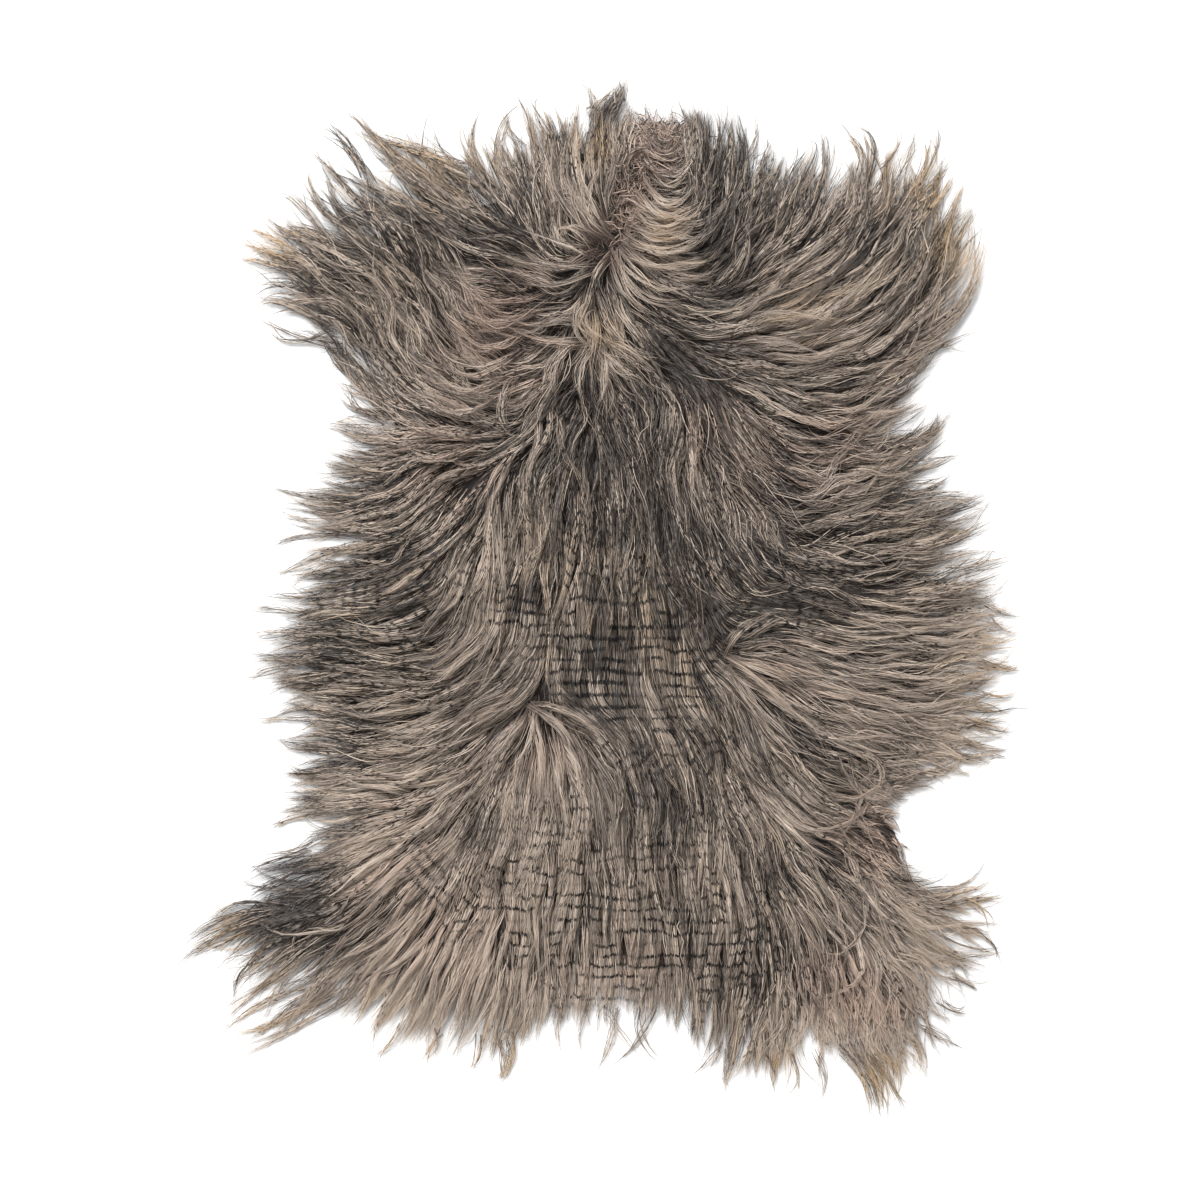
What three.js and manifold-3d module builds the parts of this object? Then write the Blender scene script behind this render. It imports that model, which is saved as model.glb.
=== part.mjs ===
// A long-haired goatskin laid flat, hair side up: a thin tanned skin and the fleece that grows from it.
// Millimetres and degrees. +X is to the right, +Y towards the neck, +Z up, and the floor is at z = 0.
import * as THREE from 'three';
import { mergeVertices } from 'three/addons/utils/BufferGeometryUtils.js';
import Module from 'manifold-3d';

// Skin
const SKIN_THICKNESS = 2;
const CLEARANCE = 0.34;
const SKIN_POINTS = 110;

// Fleece
const CROWN_HEIGHT = 30;
const RIM_HEIGHT = 9;
// The pile rises from its rim to its crown over about this distance.
const ROLL_OFF = 75;
const SURFACE_PITCH = 21;
const RIM_POINTS = 120;

// Tufts that lie on the fleece and make it lumpy
const TUFT_SPACING = 84;
const TUFT_ROW_GAP = 67;
const TUFT_SCATTER = 26;
const TUFT_LENGTH = 72;
const TUFT_WIDTH = 27;
const TUFT_HEIGHT = 24;
const LEAST_TUFT_HEIGHT = 13;
// A tuft falls away this many times faster ahead of its middle than behind it.
const TUFT_BLUNTNESS = 1.8;
// The combing at a point is blended from the rows of the tables within about this distance.
const COMBING_BLEND = 20;

// Locks around the rim
const LOCK_PITCH = 23;
const LOCK_WIDTH = 23;
const LOCK_HEIGHT = 9;
const LOCK_ROOT = 12;
const LOCK_STEPS = 4;
const LOCK_CURL = 44;
// Each lock strays from its row's heading by up to this, either way.
const LOCK_STRAY = 5;
const SHORTEST_LOCK = 14;
const LEAST_SPREAD = 0.4;
// A lock's length is its row's reach times a share between these two.
const LEAST_REACH = 0.68;
const MOST_REACH = 1.22;
// Below 1 a lock stays full for most of its length and then comes quickly to its tip.
const LOCK_TAPER = 0.75;
// The curl swings from side to side along the rim, once in this many locks.
const LOCKS_PER_SWING = 9;

// The rim of the fleece, anticlockwise from the neck. reach is how far its locks stand
// out there, and heading is the way they point.
const RIM = [
  // Neck
  { x: 61, y: 462, reach: 16, heading: 90 },
  { x: 14, y: 486, reach: 41, heading: 79 },
  { x: -58, y: 450, reach: 38, heading: 103 },
  { x: -99, y: 420, reach: 60, heading: 108 },
  // Left foreleg
  { x: -150, y: 430, reach: 46, heading: 121 },
  { x: -199, y: 429, reach: 58, heading: 135 },
  { x: -244, y: 408, reach: 74, heading: 119 },
  { x: -282, y: 384, reach: 54, heading: 128 },
  { x: -327, y: 345, reach: 44, heading: 150 },
  { x: -327, y: 312, reach: 44, heading: 166 },
  { x: -292, y: 280, reach: 48, heading: 178 },
  { x: -252, y: 245, reach: 30, heading: 160 },
  { x: -231, y: 207, reach: 28, heading: 143 },
  // Left flank
  { x: -240, y: 165, reach: 34, heading: 156 },
  { x: -258, y: 118, reach: 48, heading: 162 },
  { x: -264, y: 60, reach: 70, heading: 180 },
  { x: -275, y: 8, reach: 74, heading: 177 },
  { x: -310, y: -35, reach: 48, heading: 180 },
  { x: -310, y: -80, reach: 46, heading: 182 },
  { x: -284, y: -125, reach: 56, heading: 179 },
  { x: -288, y: -172, reach: 44, heading: 178 },
  { x: -268, y: -212, reach: 60, heading: 187 },
  // Left hind leg
  { x: -274, y: -250, reach: 44, heading: 185 },
  { x: -322, y: -275, reach: 38, heading: 196 },
  { x: -359, y: -328, reach: 98, heading: 206 },
  { x: -337, y: -362, reach: 62, heading: 220 },
  { x: -299, y: -388, reach: 98, heading: 214 },
  { x: -252, y: -408, reach: 44, heading: 226 },
  // Rump
  { x: -194, y: -434, reach: 30, heading: 246 },
  { x: -128, y: -444, reach: 32, heading: 258 },
  { x: -74, y: -430, reach: 42, heading: 258 },
  { x: -10, y: -412, reach: 38, heading: 268 },
  { x: 84, y: -420, reach: 40, heading: 270 },
  { x: 126, y: -448, reach: 42, heading: 262 },
  { x: 184, y: -460, reach: 40, heading: 272 },
  { x: 214, y: -436, reach: 34, heading: 270 },
  // Right hind leg
  { x: 264, y: -466, reach: 76, heading: 279 },
  { x: 310, y: -446, reach: 50, heading: 288 },
  { x: 344, y: -408, reach: 46, heading: 312 },
  { x: 358, y: -352, reach: 46, heading: 340 },
  { x: 346, y: -314, reach: 74, heading: 10 },
  { x: 318, y: -289, reach: 52, heading: 352 },
  { x: 291, y: -254, reach: 0, heading: 322 },
  // The bare notch where the skin's edge shows
  { x: 282, y: -226, reach: 0, heading: 330 },
  { x: 298, y: -198, reach: 16, heading: 345 },
  // Right flank
  { x: 344, y: -164, reach: 42, heading: 352 },
  { x: 374, y: -120, reach: 46, heading: 3 },
  { x: 386, y: -62, reach: 46, heading: 5 },
  { x: 376, y: -8, reach: 46, heading: 13 },
  { x: 346, y: 48, reach: 58, heading: 24 },
  { x: 330, y: 98, reach: 58, heading: 22 },
  { x: 312, y: 150, reach: 44, heading: 30 },
  // Right foreleg
  { x: 300, y: 198, reach: 34, heading: 36 },
  { x: 338, y: 240, reach: 26, heading: 58 },
  { x: 366, y: 292, reach: 38, heading: 76 },
  { x: 370, y: 338, reach: 52, heading: 78 },
  { x: 344, y: 378, reach: 62, heading: 66 },
  { x: 305, y: 406, reach: 64, heading: 80 },
  { x: 258, y: 420, reach: 54, heading: 88 },
  { x: 206, y: 416, reach: 44, heading: 72 },
  { x: 172, y: 412, reach: 42, heading: 66 },
  { x: 146, y: 440, reach: 50, heading: 78 },
  { x: 96, y: 466, reach: 33, heading: 94 },
];

// The skin's own cut edge, anticlockwise from the neck. It lies inside the rim but for the notch.
const SKIN_EDGE = [
  // Neck
  { x: 40, y: 440 },
  { x: -30, y: 442 },
  { x: -80, y: 402 },
  // Left foreleg
  { x: -150, y: 385 },
  { x: -225, y: 362 },
  { x: -275, y: 318 },
  { x: -258, y: 272 },
  { x: -216, y: 225 },
  // Left flank
  { x: -204, y: 165 },
  { x: -222, y: 80 },
  { x: -245, y: -20 },
  { x: -255, y: -90 },
  { x: -238, y: -190 },
  // Left hind leg
  { x: -250, y: -255 },
  { x: -290, y: -300 },
  { x: -292, y: -335 },
  { x: -240, y: -366 },
  // Rump
  { x: -150, y: -395 },
  { x: 0, y: -378 },
  { x: 110, y: -398 },
  // Right hind leg
  { x: 190, y: -420 },
  { x: 270, y: -405 },
  { x: 305, y: -345 },
  { x: 302, y: -290 },
  { x: 300, y: -258 },
  // Notch
  { x: 296, y: -236 },
  { x: 284, y: -213 },
  { x: 286, y: -184 },
  // Right flank
  { x: 325, y: -120 },
  { x: 335, y: -40 },
  { x: 302, y: 50 },
  { x: 276, y: 130 },
  // Right foreleg
  { x: 272, y: 205 },
  { x: 315, y: 275 },
  { x: 318, y: 330 },
  { x: 270, y: 375 },
  { x: 190, y: 376 },
  { x: 130, y: 406 },
  { x: 95, y: 434 },
];

// How the hair is combed on the fleece itself.
const COMBING = [
  { x: 20, y: 420, heading: 85 },
  { x: 70, y: 390, heading: 350 },
  { x: 110, y: 300, heading: 5 },
  { x: 240, y: 310, heading: 35 },
  { x: 200, y: 210, heading: 350 },
  { x: -60, y: 340, heading: 130 },
  { x: -110, y: 240, heading: 175 },
  { x: -200, y: 300, heading: 145 },
  { x: -60, y: 130, heading: 215 },
  { x: -170, y: 70, heading: 195 },
  { x: 20, y: 160, heading: 270 },
  { x: 110, y: 160, heading: 290 },
  { x: 220, y: 80, heading: 10 },
  { x: 10, y: 0, heading: 270 },
  { x: -90, y: -20, heading: 262 },
  { x: -190, y: -60, heading: 185 },
  { x: 180, y: -70, heading: 350 },
  { x: 90, y: -130, heading: 270 },
  { x: -60, y: -200, heading: 265 },
  { x: -150, y: -230, heading: 225 },
  { x: 190, y: -230, heading: 320 },
  { x: 50, y: -330, heading: 270 },
  { x: 240, y: -350, heading: 300 },
  { x: -170, y: -360, heading: 235 },
];

const LEATHER = { color: 0x3a2a22, roughness: 0.7, metalness: 0 };
const HAIR = { color: 0xa08f80, roughness: 0.75, metalness: 0 };

const wasm = await Module();
wasm.setup();

function direction(degrees) {
  const angle = THREE.MathUtils.degToRad(degrees);
  return new THREE.Vector2(Math.cos(angle), Math.sin(angle));
}

// A number from 0 to 1 that looks random but is always the same for the same count.
const SHUFFLE_TURN = 12.9898;
const SHUFFLE_SPREAD = 43758.5453;
function shuffle(count) {
  const mixed = Math.sin(count * SHUFFLE_TURN) * SHUFFLE_SPREAD;
  return mixed - Math.floor(mixed);
}

// A number from -1 to 1 of the same kind.
function stray(count) {
  return 2 * shuffle(count) - 1;
}

const MERGE_DISTANCE = 0.001;
function toSolid(geometry) {
  geometry.deleteAttribute('normal');
  geometry.deleteAttribute('uv');
  const merged = mergeVertices(geometry, MERGE_DISTANCE);
  const mesh = new wasm.Mesh({
    numProp: 3,
    vertProperties: new Float32Array(merged.attributes.position.array),
    triVerts: new Uint32Array(merged.index.array),
  });
  return new wasm.Manifold(mesh);
}

function toGeometry(solid) {
  const mesh = solid.getMesh();
  const geometry = new THREE.BufferGeometry();
  geometry.setAttribute('position', new THREE.BufferAttribute(mesh.vertProperties, 3));
  geometry.setIndex(new THREE.BufferAttribute(mesh.triVerts, 1));
  geometry.computeVertexNormals();
  return geometry;
}

function meshFrom(points, faces) {
  const geometry = new THREE.BufferGeometry();
  geometry.setAttribute('position', new THREE.Float32BufferAttribute(points.flat(), 3));
  geometry.setIndex(faces.flat());
  return geometry;
}

function closedCurve(rows) {
  const corners = rows.map((row) => new THREE.Vector3(row.x, row.y, 0));
  return new THREE.CatmullRomCurve3(corners, true, 'centripetal');
}

const rimCurve = closedCurve(RIM);
const rimLength = rimCurve.getLength();

// The rim's point, and its row's values blended, at a share from 0 to 1 of the way round.
// The spread is 1 where the hair leaves the rim squarely and falls to 0 where it runs along it.
function rimAt(share) {
  const along = rimCurve.getUtoTmapping(share) * RIM.length;
  const first = Math.floor(along) % RIM.length;
  const row = RIM[first];
  const next = RIM[(first + 1) % RIM.length];
  const mix = along - Math.floor(along);
  const point = rimCurve.getPointAt(share);
  const tangent = rimCurve.getTangentAt(share);
  const heading = direction(row.heading).lerp(direction(next.heading), mix).normalize();
  return {
    point: new THREE.Vector2(point.x, point.y),
    heading,
    reach: THREE.MathUtils.lerp(row.reach, next.reach, mix),
    spread: Math.abs(heading.cross(tangent)),
  };
}

const rimSamples = Array.from({ length: RIM_POINTS }, (_, i) => rimAt(i / RIM_POINTS));
const rimOutline = rimSamples.map((sample) => sample.point);

function distanceToRim(point) {
  const segment = new THREE.Line3();
  const spot = new THREE.Vector3(point.x, point.y, 0);
  const nearest = new THREE.Vector3();
  let least = Infinity;
  rimOutline.forEach((corner, i) => {
    const next = rimOutline[(i + 1) % RIM_POINTS];
    segment.start.set(corner.x, corner.y, 0);
    segment.end.set(next.x, next.y, 0);
    segment.closestPointToPoint(spot, true, nearest);
    least = Math.min(least, nearest.distanceTo(spot));
  });
  return least;
}

function inside(point, outline) {
  let odd = false;
  outline.forEach((a, i) => {
    const b = outline[(i + 1) % outline.length];
    if ((a.y > point.y) !== (b.y > point.y)) {
      const crossing = a.x + ((point.y - a.y) * (b.x - a.x)) / (b.y - a.y);
      odd = crossing > point.x ? !odd : odd;
    }
  });
  return odd;
}

// The way the hair lies at a point: the combing and the rim's headings, the nearest counting most.
const guides = [...COMBING, ...RIM].map((row) => ({
  at: new THREE.Vector2(row.x, row.y),
  way: direction(row.heading),
}));

function flowAt(point) {
  const sum = new THREE.Vector2();
  guides.forEach((guide) => {
    const closeness = 1 / (guide.at.distanceToSquared(point) + COMBING_BLEND ** 2);
    sum.addScaledVector(guide.way, closeness * closeness);
  });
  return sum.normalize();
}

// Tufts stand on a staggered lattice, each a little off its place.
function placeTufts() {
  const box = new THREE.Box2().setFromPoints(rimOutline);
  const rows = Math.ceil((box.max.y - box.min.y) / TUFT_ROW_GAP);
  const columns = Math.ceil((box.max.x - box.min.x) / TUFT_SPACING);
  const places = [];
  for (let row = 0; row <= rows; row += 1) {
    const stagger = row % 2 ? TUFT_SPACING / 2 : 0;
    for (let column = 0; column <= columns; column += 1) {
      const count = row * (columns + 1) + column;
      const x = box.min.x + column * TUFT_SPACING - stagger + (stray(count) * TUFT_SCATTER) / 2;
      const y = box.min.y + row * TUFT_ROW_GAP + (stray(count + 0.5) * TUFT_SCATTER) / 2;
      places.push({ at: new THREE.Vector2(x, y), count });
    }
  }
  const kept = places.filter((place) => inside(place.at, rimOutline));
  return kept.map(({ at, count }) => ({
    at,
    way: flowAt(at),
    height: THREE.MathUtils.lerp(LEAST_TUFT_HEIGHT, TUFT_HEIGHT, shuffle(count + 0.25)),
  }));
}

const tufts = placeTufts();

// A tuft rises gently from its root and ends in a blunt tip.
function tuftHeight(tuft, point) {
  const offset = point.clone().sub(tuft.at);
  const along = offset.dot(tuft.way) / TUFT_LENGTH;
  const across = offset.cross(tuft.way) / TUFT_WIDTH;
  const steepness = along > 0 ? TUFT_BLUNTNESS : 1;
  return tuft.height * Math.exp(-((along * steepness) ** 2) - across ** 2);
}

function pileHeight(point) {
  const rise = 1 - Math.exp(-distanceToRim(point) / ROLL_OFF);
  const base = RIM_HEIGHT + (CROWN_HEIGHT - RIM_HEIGHT) * rise;
  const lump = Math.max(...tufts.map((tuft) => tuftHeight(tuft, point)));
  return inside(point, rimOutline) ? base + lump * rise : RIM_HEIGHT;
}

// A block with a flat base whose top is the pile's surface.
function makeMound() {
  const box = new THREE.Box2().setFromPoints(rimOutline).expandByScalar(SURFACE_PITCH);
  const size = box.getSize(new THREE.Vector2());
  const columns = Math.ceil(size.x / SURFACE_PITCH);
  const rows = Math.ceil(size.y / SURFACE_PITCH);
  const block = new THREE.BoxGeometry(size.x, size.y, 1, columns, rows, 1);
  const centre = box.getCenter(new THREE.Vector2());
  const position = block.attributes.position;
  for (let i = 0; i < position.count; i += 1) {
    const spot = new THREE.Vector2(position.getX(i) + centre.x, position.getY(i) + centre.y);
    position.setXYZ(i, spot.x, spot.y, position.getZ(i) > 0 ? pileHeight(spot) : 0);
  }
  return toSolid(block);
}

function prism(outline, low, high) {
  const geometry = new THREE.ExtrudeGeometry(new THREE.Shape(outline), {
    depth: high - low,
    bevelEnabled: false,
  });
  return geometry.translate(0, 0, low);
}

// A lock's three corners at one step: two on the floor and its ridge.
function lockSection(spot, way, half, height) {
  const side = new THREE.Vector2(-way.y, way.x).multiplyScalar(half);
  return [
    [spot.x + side.x, spot.y + side.y, 0],
    [spot.x - side.x, spot.y - side.y, 0],
    [spot.x, spot.y, height],
  ];
}

// The faces of a three-sided strand: its root, its sides and the point that it comes to.
function strandFaces(steps) {
  const faces = [[0, 1, 2]];
  const tip = steps * 3;
  for (let step = 0; step < steps; step += 1) {
    for (let corner = 0; corner < 3; corner += 1) {
      const a = step * 3 + corner;
      const b = step * 3 + ((corner + 1) % 3);
      if (step === steps - 1) {
        faces.push([b, a, tip]);
      } else {
        faces.push([b, a, a + 3], [b, a + 3, b + 3]);
      }
    }
  }
  return faces;
}

// A lock lies flat on the floor, curls to one side and tapers to its tip.
function makeLock(sample, count) {
  const length = LOCK_ROOT + sample.reach * THREE.MathUtils.lerp(LEAST_REACH, MOST_REACH, shuffle(count));
  const curl = LOCK_CURL * Math.sin((count / LOCKS_PER_SWING) * 2 * Math.PI);
  const turn = THREE.MathUtils.degToRad(LOCK_STRAY * stray(count + 0.5) - curl / 2);
  const origin = new THREE.Vector2();
  const way = sample.heading.clone().rotateAround(origin, turn);
  const spot = sample.point.clone().addScaledVector(sample.heading, -LOCK_ROOT);
  const points = [];
  for (let step = 0; step < LOCK_STEPS; step += 1) {
    const fullness = (1 - step / LOCK_STEPS) ** LOCK_TAPER;
    const half = (LOCK_WIDTH / 2) * sample.spread * fullness;
    points.push(...lockSection(spot, way, half, LOCK_HEIGHT * fullness));
    spot.addScaledVector(way, length / LOCK_STEPS);
    way.rotateAround(origin, THREE.MathUtils.degToRad(curl / LOCK_STEPS));
  }
  points.push([spot.x, spot.y, 0]);
  return toSolid(meshFrom(points, strandFaces(LOCK_STEPS)));
}

function makeLocks() {
  const number = Math.round(rimLength / LOCK_PITCH);
  const places = Array.from({ length: number }, (_, i) => rimAt(i / number));
  const bare = (sample) => sample.reach < SHORTEST_LOCK || sample.spread < LEAST_SPREAD;
  return places.flatMap((sample, i) => (bare(sample) ? [] : [makeLock(sample, i)]));
}

// The skin's edge, pushed outwards by the room to spare.
function skinOutline(spare) {
  const curve = closedCurve(SKIN_EDGE);
  return Array.from({ length: SKIN_POINTS }, (_, i) => {
    const point = curve.getPointAt(i / SKIN_POINTS);
    const tangent = curve.getTangentAt(i / SKIN_POINTS);
    return new THREE.Vector2(point.x + tangent.y * spare, point.y - tangent.x * spare);
  });
}

function makeSkin() {
  return prism(skinOutline(0), 0, SKIN_THICKNESS);
}

// The fleece is a lumpy slab with locks at its rim, hollowed below where the skin lies.
function makeFleece() {
  const outline = toSolid(prism(rimOutline, -1, CROWN_HEIGHT + TUFT_HEIGHT + 1));
  const slab = makeMound().intersect(outline);
  const coat = makeLocks().reduce((whole, lock) => whole.add(lock), slab);
  const seat = toSolid(prism(skinOutline(CLEARANCE), -1, SKIN_THICKNESS + CLEARANCE));
  return toGeometry(coat.subtract(seat));
}

function part(name, geometry, finish) {
  const mesh = new THREE.Mesh(geometry, new THREE.MeshStandardMaterial(finish));
  mesh.name = name;
  return mesh;
}

const goatskin = new THREE.Group();
goatskin.add(part('skin', makeSkin(), LEATHER));
goatskin.add(part('fleece', makeFleece(), HAIR));

// The origin is on the floor under the middle of the whole skin, locks included.
const reachBox = new THREE.Box3().setFromObject(goatskin);
const middle = reachBox.getCenter(new THREE.Vector3());
goatskin.position.set(-middle.x, -middle.y, 0);

export default goatskin;
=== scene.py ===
"""A long-haired goatskin, laid flat with the hair side up: its leather, underfur and combed coat."""

import math

import bpy
import numpy as np
from bpy.props import FloatProperty, FloatVectorProperty, IntProperty, PointerProperty
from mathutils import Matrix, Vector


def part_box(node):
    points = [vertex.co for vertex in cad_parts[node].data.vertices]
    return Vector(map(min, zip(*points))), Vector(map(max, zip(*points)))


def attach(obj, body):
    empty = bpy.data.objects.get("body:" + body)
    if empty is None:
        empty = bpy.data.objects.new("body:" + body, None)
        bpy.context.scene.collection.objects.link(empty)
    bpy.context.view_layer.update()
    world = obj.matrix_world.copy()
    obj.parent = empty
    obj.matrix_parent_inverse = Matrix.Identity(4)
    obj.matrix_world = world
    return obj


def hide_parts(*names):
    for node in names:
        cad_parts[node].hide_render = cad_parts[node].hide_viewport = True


bl_info = {
    "name": "Long-haired goatskin",
    "version": (1, 0, 0),
    "blender": (4, 5, 0),
    "location": "View3D > Sidebar > Goatskin",
    "description": "Lays a goatskin's leather and grows its combed, dashed coat",
    "category": "Object",
}

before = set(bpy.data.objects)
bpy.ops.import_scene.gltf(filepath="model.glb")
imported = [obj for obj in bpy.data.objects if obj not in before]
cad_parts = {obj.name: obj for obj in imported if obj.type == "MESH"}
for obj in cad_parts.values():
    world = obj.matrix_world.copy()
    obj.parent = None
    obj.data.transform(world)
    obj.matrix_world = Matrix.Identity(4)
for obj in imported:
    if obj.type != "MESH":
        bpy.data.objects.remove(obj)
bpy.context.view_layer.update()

# The picture's point over the plan's origin, and the way in m from there to the row's origin.
PICTURE_MIDDLE = np.array((599.0, 597.5))
PLAN_SHIFT = np.array((-0.003497, -0.001438))
CAMERA_HEIGHT = 2.833

TURN = 2 * math.pi
# Half the width and half the length of the floor that roots are scattered over, in m.
SCATTER_HALF = (0.45, 0.55)
# Height of the hair's roots over the floor, in m.
ROOT_HEIGHT = 0.0022
# Width of the columns that the dashes' rows fall into, in m.
COLUMN_WIDTH = 0.021
# Seeds of the noises that stay the same wherever they are asked for.
COLUMN_NOISE, DASH_NOISE, TUFT_NOISE, RAGGED_NOISE, LUMP_NOISE = 3, 4, 5, 6, 8

# The edge of the laid coat, anticlockwise from the neck, in mm in the plan: x, y, how far loose hair
# reaches past it, and the way that hair points, in degrees anticlockwise from +X.
RIM = (
    # Neck
    (66, 458, 14, 90), (14, 488, 41, 79), (-24, 480, 34, 96), (-60, 452, 40, 106), (-99, 424, 62, 110),
    # Left foreleg
    (-150, 446, 44, 128), (-199, 450, 48, 142), (-244, 420, 66, 124), (-284, 390, 54, 130),
    (-327, 348, 48, 150), (-331, 310, 46, 166), (-300, 274, 48, 172), (-262, 237, 30, 158),
    (-240, 202, 28, 145),
    # Left flank
    (-243, 165, 34, 156), (-258, 118, 50, 162), (-264, 70, 68, 180), (-256, 34, 70, 184),
    (-266, 4, 66, 178),
    (-314, -35, 50, 180), (-314, -80, 48, 182), (-284, -125, 56, 179), (-288, -172, 44, 178),
    (-268, -212, 60, 187),
    # Left hind leg
    (-274, -250, 44, 185), (-322, -275, 38, 196), (-359, -328, 118, 206), (-337, -362, 62, 220),
    (-299, -384, 90, 214), (-252, -402, 30, 226),
    # Rump
    (-194, -434, 30, 246), (-128, -444, 32, 258), (-74, -430, 34, 258), (-10, -405, 26, 268),
    (84, -413, 28, 270), (126, -448, 42, 262), (184, -460, 40, 272), (214, -426, 26, 272),
    # Right hind leg
    (264, -466, 76, 279), (310, -446, 50, 288), (344, -408, 46, 312), (358, -352, 46, 340),
    (346, -314, 74, 10), (318, -289, 52, 352), (291, -254, 0, 322),
    # The bare notch where the skin's edge shows
    (282, -226, 0, 330), (298, -198, 16, 345),
    # Right flank
    (344, -162, 44, 352), (376, -120, 48, 3), (390, -62, 48, 5), (384, -8, 48, 13),
    (356, 46, 60, 24), (336, 98, 60, 22), (330, 150, 54, 34),
    # Right foreleg
    (304, 196, 34, 38), (350, 238, 26, 62), (382, 292, 34, 80), (382, 340, 48, 82),
    (344, 378, 62, 66), (305, 406, 64, 80), (258, 420, 54, 88), (206, 416, 44, 72),
    (172, 412, 42, 66), (148, 444, 46, 78), (120, 464, 38, 86), (98, 472, 32, 94),
)

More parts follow.
